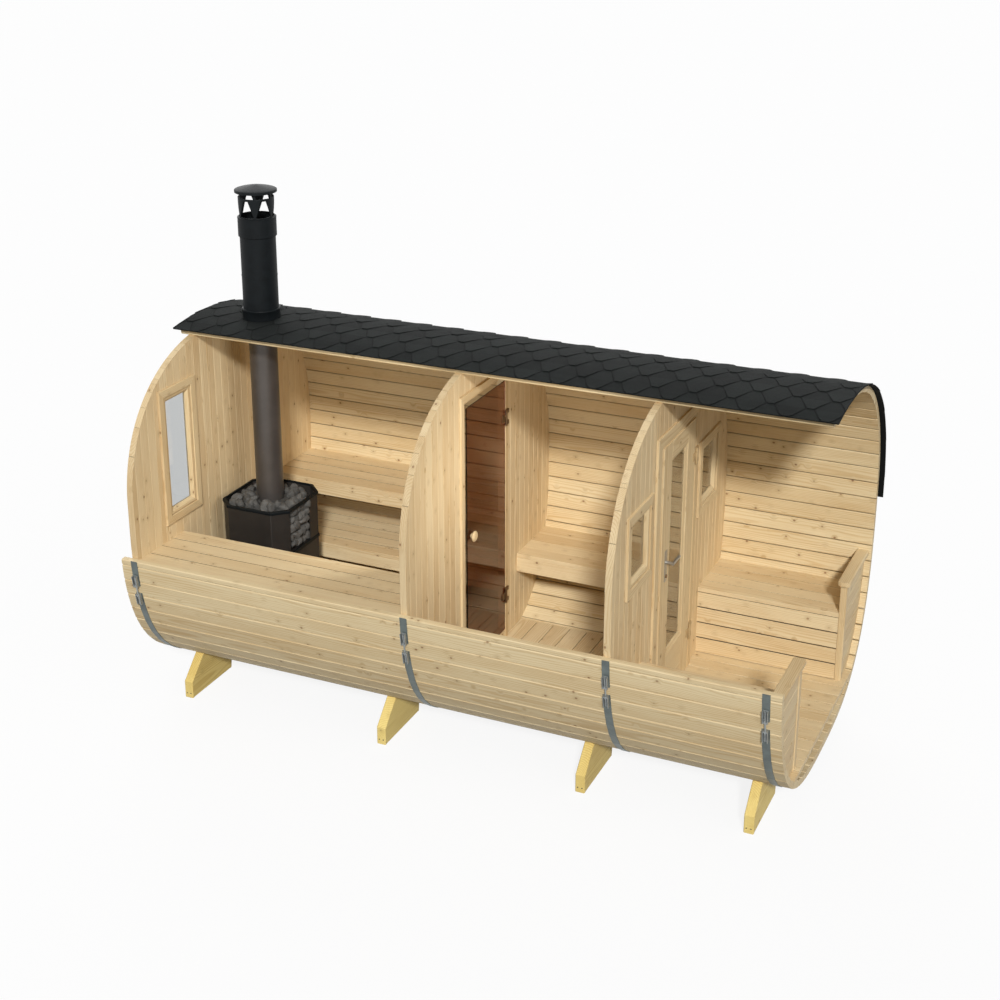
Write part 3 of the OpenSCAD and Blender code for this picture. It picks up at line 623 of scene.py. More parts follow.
class Barrel:
    """Section of the barrel. Outside, the ray at angle a is (|cos a / half|^n + |sin a / reach|^n)^(-1/n)
    long, with its own n and reach over and under the widest level. Stave joints lie at equal steps of arc."""
    arc_samples = 4001
    quarter = 720

    def __init__(self):
        s = self.set = bpy.context.scene.sauna_barrel
        side = lambda full, share, power: full * (1 - share ** power) ** (1 / power)
        drop_y = side(s.half_width, s.low_cut_drop / s.lower_depth, s.lower_roundness)
        top_z = side(s.upper_height, s.top_cut_reach / s.half_width, s.upper_roundness)
        self.first = math.pi + math.atan2(s.low_cut_drop, drop_y)
        self.last = 2 * math.pi + math.atan2(top_z, -s.top_cut_reach)
        fine = np.linspace(self.first, self.last, self.arc_samples)
        arcs = np.concatenate([[0], np.cumsum(np.linalg.norm(np.diff(self.outside(fine), axis=0), axis=1))])
        count = round(arcs[-1] / s.stave_width)
        pitch = arcs[-1] / (count - 1 + s.first_share)
        self.angles = np.interp(np.concatenate([[0], pitch * (np.arange(count) + s.first_share)]), arcs, fine)
        self.ring = self.outside(self.angles)
        run = np.diff(self.ring, axis=0)
        self.facet = run / np.linalg.norm(run, axis=1, keepdims=True)
        out = np.stack([self.facet[:, 1], -self.facet[:, 0]], -1)
        before, after = np.vstack([out[:1], out]), np.vstack([out, out[-1:]])
        self.mitre = (before + after) / (1 + (before * after).sum(axis=1, keepdims=True))
        q = self.quarter
        inner = self.curve(np.linspace(-np.pi / 2, 1.5 * np.pi, 4 * q + 1), -s.stave_thickness)
        self.far, self.top = inner[:2 * q + 1], inner[q:3 * q + 1][::-1]
        self.low = np.vstack([inner[3 * q:], inner[:q + 1]])

    def outside(self, a):
        s = self.set
        c, d = np.cos(a), np.sin(a)
        n = np.where(d < 0, s.lower_roundness, s.upper_roundness)
        reach = np.where(d < 0, s.lower_depth, s.upper_height)
        r = ((np.abs(c) / s.half_width) ** n + (np.abs(d) / reach) ** n) ** (-1 / n)
        return np.stack([c * r, d * r], -1)

    def curve(self, a, e):
        """Smooth outline moved out by e along its normals, at height over the ground."""
        edge = self.outside(a)
        way = np.gradient(edge, axis=0)
        way /= np.linalg.norm(way, axis=1, keepdims=True)
        turn = np.sign(a[-1] - a[0])
        return edge + e * turn * np.stack([way[:, 1], -way[:, 0]], -1) + [0, self.set.widest_level]

    def joints(self, e):
        """Stave joints moved out by e square to both of their facets."""
        return self.ring + self.mitre * e + [0, self.set.widest_level]

    def ceiling(self, y):
        return np.interp(y, self.top[:, 0], self.top[:, 1])

    def bottom(self, y):
        return np.interp(y, self.low[:, 0], self.low[:, 1])

    def reach(self, z):
        return np.interp(z, self.far[:, 1], self.far[:, 0])


class Path:
    """A line of points with the normals of its segments, read at distances along it."""

    def __init__(self, points):
        self.points = np.asarray(points, float)
        steps = np.diff(self.points, axis=0)
        self.arc = np.concatenate([[0], np.cumsum(np.linalg.norm(steps, axis=1))])
        way = np.gradient(self.points, axis=0)
        self.normal = np.stack([-way[:, 1], way[:, 0]], -1) / np.linalg.norm(way, axis=1, keepdims=True)

    def at(self, s, e):
        """Points at the distances s, moved out by e along the normals."""
        place = np.stack([np.interp(s, self.arc, self.points[:, i]) for i in (0, 1)], -1)
        out = np.stack([np.interp(s, self.arc, self.normal[:, i]) for i in (0, 1)], -1)
        return place + out * np.asarray(e)[..., None]


def lathe(profile, centre, turns=ROUND, axis=Z):
    """A closed profile of (radius, height) turned round an axis: x = r cos t, y = r sin t."""
    profile = np.asarray(profile, float)
    t = np.linspace(0, 2 * np.pi, turns, endpoint=False)
    r, h = profile[:, 0], profile[:, 1]
    across = np.stack([np.cos(t)[:, None] * r, np.sin(t)[:, None] * r], -1)
    points = np.empty((turns, len(r), 3))
    a, b = [(Y, Z), (Z, X), (X, Y)][axis]
    points[..., axis] = h
    points[..., a], points[..., b] = across[..., 0], across[..., 1]
    points += np.asarray(centre, float)
    faces = grid_faces(turns, len(r), True)[..., BACKWARDS].reshape(1, -1, 4)
    return points, outward(points, faces)


class Parts:
    """Gathers unlike shapes into one piece."""

    def __init__(self):
        self.points, self.faces, self.size = [], [], 0

    def put(self, points, faces):
        points = np.asarray(points).reshape(-1, 3)
        self.points.append(points)
        self.faces.append(np.asarray(faces).reshape(-1, 4) + self.size)
        self.size += len(points)

    def tubes(self, points):
        """Takes [shape, station, rail, xyz] points of closed sections."""
        count, stations, rails, _ = points.shape
        self.put(points, outward(points, tube_faces(count, stations, rails)))

    def piece(self, name, slot, material=None, body=HOUSE, stands_for=(), smooth=True, **marks):
        return add_piece(name, np.concatenate(self.points), np.concatenate(self.faces), slot, material, body,
                         stands_for, smooth, True, **marks)


# Pieces

class SaunaOperator(bpy.types.Operator):
    """Builds some pieces of the sauna"""
    bl_options = {"REGISTER", "UNDO"}

    def execute(self, context):
        self.build(context.scene, Barrel())
        return {"FINISHED"}


class SAUNA_OT_staves(SaunaOperator):
    """Lays the staves round the barrel, with eased edges and ends round the flue"""
    bl_idname = "sauna.staves"
    bl_label = "Staves"
    turns = {"near": (0, 235), "bottom": (235, 305), "far_low": (305, 360), "far_high": (360, 410),
             "roof": (410, 720)}
    flue_room = 0.0004

    def build(self, scene, barrel):
        s = barrel.set
        outer, inner = barrel.joints(0), barrel.joints(-s.stave_thickness)
        gap = barrel.facet * s.stave_gap / 2
        rings = board_rings(outer[:-1] + gap, outer[1:] - gap, inner[:-1] + gap, inner[1:] - gap,
                            s.stave_edge, splits=6, steps=1)
        # Painted shade in the joints: on the outer face only the lower edge of each stave, whose bevel faces
        # down, is darkened; the upper edge is left pale as if lit from above.
        sides = joint_sides(rings, 0, 0)
        half = rings.shape[1] // 2
        falls = rings[:, 0, 1] > rings[:, half - 1, 1]
        sides[falls, 0] = sides[~falls, half - 1] = 0
        middle = np.degrees(barrel.angles[:-1] + barrel.angles[1:]) / 2
        flue_low, flue_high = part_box("flue_pipe")
        flue_x, hole = (flue_low.x + flue_high.x) / 2, (flue_high.x - flue_low.x) / 2 + self.flue_room
        for seed, (place, (low, high)) in enumerate(self.turns.items()):
            node = "staves_" + place
            left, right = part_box(node)[0].x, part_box(node)[1].x
            kept = (middle >= low) & (middle < high)
            own, shade_by_rail = rings[kept], sides[kept]
            y = own[..., 0]
            met = (np.abs(y).min(axis=1) < hole) if place == "roof" else np.zeros(len(own), bool)
            boards = Boards(10 + seed)
            boards.carry(own[~met], left, right, (X, Y, Z), shade_by_rail[~met])
            if met.any():
                round_flue = np.sqrt(np.maximum(hole ** 2 - y[met] ** 2, 0))
                boards.carry(own[met], left, flue_x - round_flue, (X, Y, Z), shade_by_rail[met])
                boards.carry(own[met], flue_x + round_flue, right, (X, Y, Z), shade_by_rail[met])
            boards.piece("stave_boards_" + place, "stave_pine", (node,))


class SAUNA_OT_straps(SaunaOperator):
    """Draws the steel straps round the staves, with channel brackets, rods and nuts"""
    bl_idname = "sauna.straps"
    bl_label = "Straps"
    tension_stave = 2
    strap_ends = (0.25, 0.75)
    seat = 0.0001
    bracket = 0.074
    bracket_width = 0.030
    flange = 0.022
    sheet = 0.004
    sheet_edge = 0.0008
    sunk = 0.001
    plate_drop = 0.002
    end_plate = 0.009
    rod_radius = 0.005
    rod_length = 0.186
    nut_radius = 0.0095
    nut = 0.009

    def build(self, scene, barrel):
        s = barrel.set
        k = self.tension_stave
        halves = []
        for line in (barrel.joints(self.seat), barrel.joints(s.strap_thickness)):
            first, second = (line[k] + (line[k + 1] - line[k]) * share for share in self.strap_ends)
            halves.append((np.vstack([line[:k + 1], first]), np.vstack([second, line[k + 1:]])))
        for n in range(1, 5):
            node = "band_%d" % n
            x = (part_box(node)[0].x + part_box(node)[1].x) / 2
            parts = Parts()
            for inner, outer in zip(*halves):
                self.strap(parts, x, s.strap_width / 2, inner, outer)
            parts.piece("strap_%d" % n, "band_steel", stands_for=(node,), smooth=False)
            self.tensioner(barrel, x, "strap_tensioner_%d" % n)

    def strap(self, parts, x, half, inner, outer):
        """A flat section x +- half by inner to outer, carried over the joints."""
        points = np.empty((1, len(inner), 4, 3))
        for rail, (line, side) in enumerate(((outer, -half), (outer, half), (inner, half), (inner, -half))):
            points[0, :, rail, X] = x + side
            points[0, :, rail, 1:] = line
        parts.tubes(points)

    def tensioner(self, barrel, x, name):
        """Straight along the stave at distance u from its middle: a channel with an end plate on each strap
        end, a threaded rod through both plates and a nut behind each."""
        k = self.tension_stave
        line, way = barrel.joints(barrel.set.strap_thickness), barrel.facet[k]
        middle = (line[k] + line[k + 1]) / 2
        out = np.array([way[1], -way[0]])
        gap = np.linalg.norm(barrel.ring[k + 1] - barrel.ring[k]) / 4
        parts = Parts()

        def bar(rings, from_u, to_u):
            points = np.empty((len(rings), 2, rings.shape[1], 3))
            for station, u in enumerate((from_u, to_u)):
                points[:, station, :, X] = x + rings[..., 0]
                points[:, station, :, 1:] = middle + way * u + rings[..., 1:] * out
            parts.tubes(points)

        half, wall, tall = self.bracket_width / 2, self.sheet, self.flange
        walls = ((wall - half, half - wall, wall), (-half, wall - half, tall), (half - wall, half, tall))
        channel = np.concatenate([level(-self.sunk, top, x0, x1, self.sheet_edge) for x0, x1, top in walls])
        inside = level(wall, tall - self.plate_drop, wall - half, half - wall, self.sheet_edge)
        turn = np.linspace(0, 2 * np.pi, 12, endpoint=False)
        circle = lambda radius, t: np.stack([radius * np.cos(t), tall / 2 + radius * np.sin(t)], -1)[None]
        for side in (-1, 1):
            bar(channel, side * gap, side * (gap + self.bracket))
            bar(inside, side * (gap + self.sunk), side * (gap + self.end_plate))
            bar(circle(self.nut_radius, turn[::2]), side * (gap + self.end_plate),
                side * (gap + self.end_plate + self.nut))
        bar(circle(self.rod_radius, turn), -self.rod_length / 2, self.rod_length / 2)
        parts.piece(name, "fitting_steel", "zinc", smooth=False)


class SAUNA_OT_shingles(SaunaOperator):
    """Covers the roof with a sheet and courses of six-sided shingle tabs"""
    bl_idname = "sauna.shingles"
    bl_label = "Shingles"
    tail = 0.03
    bare_drop = 0.107
    ridge = 0.62
    first_tab = 0.041
    filler_lift = 0.0012
    lift_fade = 0.82
    # Painted shade: the sheet seen in the slits between tabs takes this very low tone, so the slits read as
    # shadow.
    slit_shade_tone = -4.0
    path_points, sheet_points, tab_points = 600, 120, 4

    def build(self, scene, barrel):
        r = scene.sauna_roof
        low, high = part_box("roof_shingles")
        bare = barrel.angles[(barrel.ring[:, 0] > 0) & (barrel.ring[:, 1] > -self.bare_drop)].min()
        line = barrel.curve(np.linspace(barrel.last, bare, self.path_points), r.seat)
        way = line[0] - line[1]
        line = np.vstack([line[0] + way / np.linalg.norm(way) * self.tail, line])
        path = Path(line)
        path.normal *= np.sign((path.normal * (path.points - [0, barrel.set.widest_level])).sum())
        whole = path.arc[-1]
        s = np.linspace(0, whole, self.sheet_points)
        sheet = np.empty((1, len(s), 4, 3))
        for rail, (e, x) in enumerate(((r.base, low.x), (r.base, high.x), (0, high.x), (0, low.x))):
            sheet[0, :, rail, X] = x
            sheet[0, :, rail, 1:] = path.at(s, np.full(len(s), e))
        parts = Parts()
        parts.tubes(sheet)
        # The sheet's low tone is painted shade in the slits.
        tones = [np.full(sheet.size // 3, self.slit_shade_tone)]
        dice = np.random.default_rng(31)
        near = r.first + r.course * np.arange(-1, int((self.ridge - r.first) / r.course) + 1)
        far = whole - r.course * np.arange(0, int((whole - near[-1] - r.course) / r.course) + 1)
        rows = [(s0, sign, i) for line, sign in ((near, 1), (far, -1)) for i, s0 in enumerate(line)]
        count = int((high.x - low.x) / r.pitch) + 3
        for s0, sign, i in rows:
            x = self.first_tab + r.pitch / 2 * (i % 2) + r.pitch * (np.arange(count) - count // 2)
            tab = (r.flat, r.shoulder, r.lift, 0.0)
            filler = (r.pitch / 2 - r.flat, r.pitch / 2 - r.shoulder, self.filler_lift, 0.5)
            for half_low, half_high, lift, shift in (tab, filler):
                centre = x + r.pitch * shift
                centre = centre[(centre + r.shoulder > low.x) & (centre - r.shoulder < high.x)]
                halves = [half - r.slit / 2 for half in (half_low, half_high)]
                points = self.tab(path, centre, s0, sign, *halves, lift, r)
                points[..., X] = np.clip(points[..., X], low.x, high.x)
                parts.tubes(points)
                own = dice.uniform(-1, 1, (len(points), 1, 1))
                tones.append(np.broadcast_to(own, points.shape[:3]).ravel())
        add_piece("shingle_courses", np.concatenate(parts.points), np.concatenate(parts.faces), "shingle",
                  stands_for=("roof_shingles",), tone=np.concatenate(tones))

    def tab(self, path, centre, s0, sign, half_low, half_high, lift, r):
        """Half width and lift change in a straight line from the lower edge v = 0 to one course up, v = 1."""
        v = np.linspace(0, 1, self.tab_points)
        s = np.clip(s0 + sign * r.course * v, 0, path.arc[-1])
        half = half_low + (half_high - half_low) * v
        over = r.base + lift * (1 - self.lift_fade * v)
        points = np.empty((len(centre), len(v), 4, 3))
        rails = ((-1, over), (1, over), (1, 0 * over + r.base / 2), (-1, 0 * over + r.base / 2))
        for rail, (side, e) in enumerate(rails):
            points[:, :, rail, X] = centre[:, None] + side * half
            points[:, :, rail, 1:] = path.at(s, e)
        return points


class SAUNA_OT_cradles(SaunaOperator):
    """Shapes the four cradles under the barrel, with eased edges and screw heads"""
    bl_idname = "sauna.cradles"
    bl_label = "Cradles"
    ease = 0.004
    arch = 0.052
    foot = 0.37
    heel = 0.008
    blunt = 0.108
    seat = 0.0001
    flank_drop = 0.4
    outline_points = 81
    screw_height = 0.03
    screw_offset = 0.013
    screw_head = np.array([(0.0, 0.001), (0.003, 0.001), (0.004, 0.0), (0.004, -0.006), (0.0, -0.006)])

    def build(self, scene, barrel):
        facets = barrel.joints(self.seat)
        for n in range(1, 5):
            node = "cradle_%d" % n
            low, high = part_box(node)
            reach = high.y
            heel = self.foot - self.heel
            y = np.unique(np.concatenate([np.linspace(-reach, reach, self.outline_points),
                                          [-self.foot, -heel, heel, self.foot], facets[:, 0]]))
            y = y[(y >= -reach) & (y <= reach)]
            lower = facets[facets[:, 1] < barrel.set.widest_level - self.flank_drop]
            order = np.argsort(lower[:, 0])
            hollow = np.interp(y, lower[order, 0], lower[order, 1])
            top = np.minimum(hollow, self.blunt + reach - np.abs(y))
            foot = np.interp(np.abs(y), [heel, self.foot], [self.arch, 0])
            ring = np.concatenate([np.stack([y, top], -1), np.stack([y, foot], -1)[::-1]])
            small = self.drawn_in(ring, self.ease)
            points = np.empty((1, 4, len(ring), 3))
            places = (low.x, low.x + self.ease, high.x - self.ease, high.x)
            for station, (x, line) in enumerate(zip(places, (small, ring, ring, small))):
                points[0, station, :, X] = x
                points[0, station, :, 1:] = line
            boards = Boards(40 + n)
            boards.put(points, (Y, X, Z))
            boards.piece("cradle_board_%d" % n, "cradle_pine", (node,))
            self.screws("cradle_screws_%d" % n, low, high)

    def drawn_in(self, ring, ease):
        """Each point of the ring moved in by ease along the mean of its two edges' normals."""
        way = np.roll(ring, -1, axis=0) - np.roll(ring, 1, axis=0)
        way /= np.linalg.norm(way, axis=1, keepdims=True)
        return ring - ease * np.stack([-way[:, 1], way[:, 0]], -1)

    def screws(self, name, low, high):
        parts = Parts()
        middle = (low.x + high.x) / 2
        for side, y in ((-1, low.y), (1, high.y)):
            for off in (-self.screw_offset, self.screw_offset):
                parts.put(*lathe(self.screw_head * [1, side], (middle + off, y, self.screw_height), 16, Y))
        parts.piece(name, "fitting_steel", "stove_iron")


class SAUNA_OT_walls(SaunaOperator):
    """Boards the gable wall, the partition and the front wall, cut to the round of the barrel"""
    bl_idname = "sauna.walls"
    bl_label = "Cross walls"
    sliver = 0.012
    gap = 0.0005
    least = 0.001
    below, above = -1, 9

    def build(self, scene, barrel):
        feet = {"sauna_door_frame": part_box("sauna_floor")[1].z,
                "front_door_frame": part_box("porch_floor_boards")[1].z}
        for seed, (node, name, frames) in enumerate((
                ("gable_wall", "gable_wall_boards", ["gable_window_frame"]),
                ("partition_wall", "partition_boards", ["sauna_door_frame"]),
                ("front_wall", "front_wall_boards",
                 ["front_door_frame", "front_window_near_frame", "front_window_far_frame"]))):
            holes = []
            for hole in frames:
                low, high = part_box(hole)
                holes.append((low.y, high.y, feet.get(hole, low.z), high.z))
            self.wall(scene.sauna_boards, barrel, node, name, 51 + seed, holes)

    def wall(self, b, barrel, node, name, seed, holes):
        """Upright boards on one pitch, split at the edges of the holes; rails end on the barrel's curve."""
        low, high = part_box(node)
        steps = int(high.y / b.wall_pitch) + 1
        cuts = b.wall_pitch * (np.arange(-steps, steps) + 0.5)
        cuts = cuts[(cuts > low.y) & (cuts < high.y)]
        edges = np.array([edge for hole in holes for edge in hole[:2]])
        cuts = cuts[np.abs(cuts[:, None] - edges).min(axis=1) > self.sliver]
        cuts = np.unique(np.concatenate([[low.y, high.y], cuts, edges]))
        spans = []
        for y0, y1 in zip(cuts[:-1], cuts[1:]):
            met = [hole for hole in holes if hole[0] < (y0 + y1) / 2 < hole[1]]
            ends = [(self.below, met[0][2]), (met[0][3], self.above)] if met else [(self.below, self.above)]
            spans += [(y0, y1, *end) for end in ends]
        y0, y1, z0, z1 = np.array(spans).T
        rings = upright(high.x, low.x, y0 + self.gap, y1 - self.gap, b.groove, 8)
        y = rings[..., 1]
        bottom = np.maximum(barrel.bottom(y), z0[:, None])
        top = np.minimum(barrel.ceiling(y), z1[:, None])
        boards = Boards(seed)
        boards.carry(rings, np.minimum(bottom, top - self.least), top, (Z, X, Y), joint_sides(rings, 0, 0))
        boards.piece(name, "wall_pine", (node,))


class SAUNA_OT_windows(SaunaOperator):
    """Frames the three windows with a casing, a bevelled sash and a bead, and glazes them"""
    bl_idname = "sauna.windows"
    bl_label = "Windows"
    casing_edge, sash_edge, bead_edge = 0.0025, 0.003, 0.0015
    sash_step, sash_gap, sash_back = 0.009, 0.003, 0.004
    bead_width, bead_step, bead_lap, bead_back = 0.012, 0.002, 0.0005, 0.008
    pane_lap = 0.004

    def build(self, scene, barrel):
        casing_end = scene.sauna_boards.casing
        for seed, place in enumerate(("gable_window", "front_window_near", "front_window_far")):
            low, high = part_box(place + "_frame")
            pane_low, pane_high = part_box(place + "_glass")
            whole = pane_low.y - low.y
            face, back, sash_face = high.x, low.x, high.x - self.sash_step
            sash_end = whole - self.bead_width
            start, end = sash_end - self.bead_lap, whole + self.pane_lap
            casing = upright(face, back, 0, casing_end, self.casing_edge)
            sash = upright(sash_face, back + self.sash_back, casing_end + self.sash_gap, sash_end,
                           self.sash_edge)
            bead = board_rings((sash_face - self.bead_step, start), (pane_high.x + self.pane_lap, end),
                               (back + self.bead_back, start), (pane_low.x - self.pane_lap, end),
                               self.bead_edge)
            boards = Boards(60 + seed)
            for rings in (casing, sash, bead):
                boards.bars(rings, (low.y, low.z), (high.y, high.z))
            boards.piece(place + "_casing", "trim_pine", (place + "_frame",))
            set_finish(place + "_glass", "clear_glass")


def door_frame(name, node, leaf, seed, step):
    """Jambs and head with mitred corners, a narrow outer stop on their face, and a sill with eased edges."""
    room, joint, stop = 0.008, 0.0005, 0.006
    jamb_edge, stop_edge, sill_edge = 0.004, 0.003, 0.006
    low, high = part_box(node)
    leaf_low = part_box(leaf)[0]
    jamb, sill = leaf_low.y - low.y - room, leaf_low.z - room
    boards = Boards(seed)
    for rings in (upright(high.x - jamb_edge, low.x, 0, jamb, jamb_edge),
                  upright(high.x, high.x - stop, 0, jamb - step, stop_edge)):
        boards.bars(rings, (low.y, low.z), (high.y, high.z), "lrt")
    boards.plank((low.x, low.y + jamb + joint, low.z), (high.x, high.y - jamb - joint, sill), Y, sill_edge)
    boards.piece(name, "trim_pine", (node,))


class SAUNA_OT_glass_door(SaunaOperator):
    """Builds the inner door: frame, bronze glass, hinges and a turned wooden knob"""
    bl_idname = "sauna.glass_door"
    bl_label = "Glass door"
    stop_step = 0.012
    hinge_edge = 0.0012
    knob_neck = 0.009
    knob_foot = [[0, 0.0], [0.015, 0.0], [0.015, 0.003], [0.011, 0.005], [0.011, knob_neck]]
    hollow_share, tip_share = 0.62, 0.3
    pith = [7, 0.03, 0.04]

    def build(self, scene, barrel):
        door_frame("glass_door_frame", "sauna_door_frame", "sauna_door", 71, self.stop_step)
        set_finish("sauna_door", "brown_glass")
        for name, node, body in (("glass_door_hinges", "sauna_door_hinges", GLASS_DOOR),
                                 ("glass_door_frame_hinges", "sauna_frame_hinges", HOUSE)):
            softened_copy(name, node, "fitting_steel", "bronze", body, self.hinge_edge)
        self.knob()

    def knob(self):
        """A foot, then a ball whose radius falls by hollow (1 - sin t) while its height runs as 1 - cos t."""
        low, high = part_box("sauna_door_knob")
        radius, depth, neck = (high.y - low.y) / 2, high.x - low.x, self.knob_neck
        t = np.linspace(0, np.pi, 17)
        girth = radius * (1 - self.hollow_share * (1 - np.sin(t)))
        ball = pairs(girth, neck + (depth - neck) * (1 - np.cos(t)) / 2)
        ball[-1, 0] = radius * self.tip_share
        centre = (low.x, (low.y + high.y) / 2, (low.z + high.z) / 2)
        points, faces = lathe(np.vstack([self.knob_foot, ball, [0, depth]]), centre, 40, X)
        plain = np.zeros(points.size // 3)
        grain = (points - np.asarray(centre) + self.pith).reshape(-1, 3)
        add_piece("glass_door_knob", points, faces, "trim_pine", body=GLASS_DOOR, smooth=True, weld=True,
                  stands_for=("sauna_door_knob",), grain=grain, tone=plain, seam=plain)


class SAUNA_OT_front_door(SaunaOperator):
    """Builds the front door: frame, framed leaf with a glazing bead, pane, hinges and lever handle"""
    bl_idname = "sauna.front_door"
    bl_label = "Front door"
    stop_step = 0.02
    inset = 0.010
    edge, joint = 0.004, 0.0005
    bead_width, bead_lap, bead_edge = 0.022, 0.003, 0.002
    handle_edge, hinge_edge = 0.0015, 0.0012
    lock_inset, lock_height, lock_plate = 0.075, 0.876, 0.004
    lock = np.array([(0, 0.008), (0.0085, 0.008), (0.0105, 0.006), (0.0105, -0.002), (0, -0.002)])

    def build(self, scene, barrel):
        low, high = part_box("front_door_leaf")
        pane_low, pane_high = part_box("front_door_glass")
        door_frame("front_door_casing", "front_door_frame", "front_door_leaf", 81, self.stop_step)
        boards = Boards(82)
        left, right = pane_low.y - self.inset, pane_high.y + self.inset
        bottom, top = pane_low.z - self.inset, pane_high.z + self.inset
        for y0, y1 in ((low.y, left), (right, high.y)):
            boards.plank((low.x, y0, low.z), (high.x, y1, high.z), Z, self.edge)
        for z0, z1 in ((low.z, bottom), (top, high.z)):
            boards.plank((low.x, left + self.joint, z0), (high.x, right - self.joint, z1), Y, self.edge)
        bead = board_rings((high.x - self.edge, 0), (pane_high.x + self.bead_lap, self.bead_width),
                           (low.x + self.edge, 0), (pane_low.x - self.bead_lap, self.bead_width),
                           self.bead_edge)
        boards.bars(bead, (left, bottom), (right, top))
        boards.piece("front_door_boards", "trim_pine", ("front_door_leaf",), FRONT_DOOR)
        set_finish("front_door_glass", "clear_glass")
        self.fittings(low, high, pane_high.y)

    def fittings(self, low, high, hinge_side):
        """Handle and hinges from one solid, the hinges past hinge_side in their own finish, and a lock."""
        handle = softened_copy("front_door_handle", "front_door_fittings", "fitting_steel", "bright_steel",
                               FRONT_DOOR, self.handle_edge).data
        handle.materials.append(finish("tan_steel"))
        middles = np.empty(len(handle.polygons) * 3, np.float32)
        handle.polygons.foreach_get("center", middles)
        handle.polygons.foreach_set("material_index", (middles[1::3] > hinge_side).astype(np.int32))
        softened_copy("front_door_frame_hinges", "front_frame_hinges", "fitting_steel", "tan_steel", HOUSE,
                      self.hinge_edge)
        parts = Parts()
        y, z = low.y + self.lock_inset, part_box("sauna_floor")[1].z + self.lock_height
        for face, side in ((high.x + self.lock_plate, 1), (low.x - self.lock_plate, -1)):
            parts.put(*lathe(self.lock * [1, side], (face, y, z), 24, X))
        parts.piece("front_door_lock", "fitting_steel", "bronze", FRONT_DOOR)


class SAUNA_OT_floors(SaunaOperator):
    """Lays the boards of the three floors"""
    bl_idname = "sauna.floors"
    bl_label = "Floors"
    gap, edge = 0.0016, 0.003

    def build(self, scene, barrel):
        pitch = scene.sauna_boards.floor_pitch
        for seed, node in enumerate(("sauna_floor", "changing_floor", "porch_floor_boards")):
            low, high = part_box(node)
            porch = node == "porch_floor_boards"
            start, end = (low.y, high.y) if porch else (low.x, high.x)
            rows = np.linspace(start, end, round((end - start) / pitch) + 1)
            a, b = rows[:-1] + self.gap, rows[1:] - self.gap
            boards = Boards(90 + seed)
            if porch:
                lines = [pairs(line, z) for z in (high.z, low.z)
                         for line in (np.maximum(a, -barrel.reach(z)), np.minimum(b, barrel.reach(z)))]
                rings = board_rings(*lines, self.edge)
                boards.carry(rings, low.x, high.x, (X, Y, Z), joint_sides(rings))
            else:
                rings = level(high.z, low.z, a, b, self.edge)
                side = barrel.reach(rings[..., 1])
                boards.carry(rings, -side, side, (Y, X, Z), joint_sides(rings))
            boards.piece(node.replace("_boards", "") + "_planks", "floor_pine", (node,))


class SAUNA_OT_seats(SaunaOperator):
    """Builds the benches, the step and the seats from boards with fronts under their edges"""
    bl_idname = "sauna.seats"
    bl_label = "Seats"
    slatted, tight, plain = 0.006, 0.0006, 0.003
    top_edge, front_edge, front_joint, front_room = 0.0012, 0.003, 0.0032, 0.0004

    def build(self, scene, barrel):
        for seed, (node, gap, fronts) in enumerate((
                ("sauna_bench_far", self.slatted, 1), ("sauna_bench_near", self.slatted, 1),
                ("sauna_step", self.slatted, 1), ("changing_seat", self.tight, 1),
                ("porch_seat_far", self.plain, 4), ("porch_seat_near", self.plain, 4))):
            self.seat(scene.sauna_boards, barrel, node, 100 + seed, gap, fronts)

    def seat(self, b, barrel, node, seed, gap, fronts):
        """Boards in rows from the seat's edge to the barrel's inside, over fronts set one on another."""
        low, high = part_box(node)
        side = 1 if high.y > 0 else -1
        start = min(abs(low.y), abs(high.y))
        top, under = high.z, high.z - b.thickness
        reach = barrel.reach(np.array([top, under]))
        rows = np.linspace(start, reach.min(), round((reach.min() - start) / b.seat_pitch) + 1)
        a, c_top = rows[:-1] + gap / 2, rows[1:] - gap / 2
        a[0] = start
        c_low = c_top.copy()
        c_top[-1], c_low[-1] = reach
        rings = board_rings(pairs(side * a, top), pairs(side * c_top, top),
                            pairs(side * a, under), pairs(side * c_low, under), self.top_edge)
        boards = Boards(seed)
        boards.carry(rings, low.x, high.x, (X, Y, Z), joint_sides(rings, first=0))
        near, far = np.sort([side * start, side * (start + b.thickness)])
        levels = np.linspace(low.z, under - self.front_room, fronts + 1)
        # The joints between stacked front boards get painted shade.
        ease, seam = (self.front_joint, 1.0) if fronts > 1 else (0.0, 0.0)
        for z0, z1 in zip(levels[:-1], levels[1:]):
            boards.plank((low.x, near, z0 + ease), (high.x, far, z1 - ease), X, self.front_edge, seam)
        boards.piece(node + "_boards", "bench_pine", (node,))


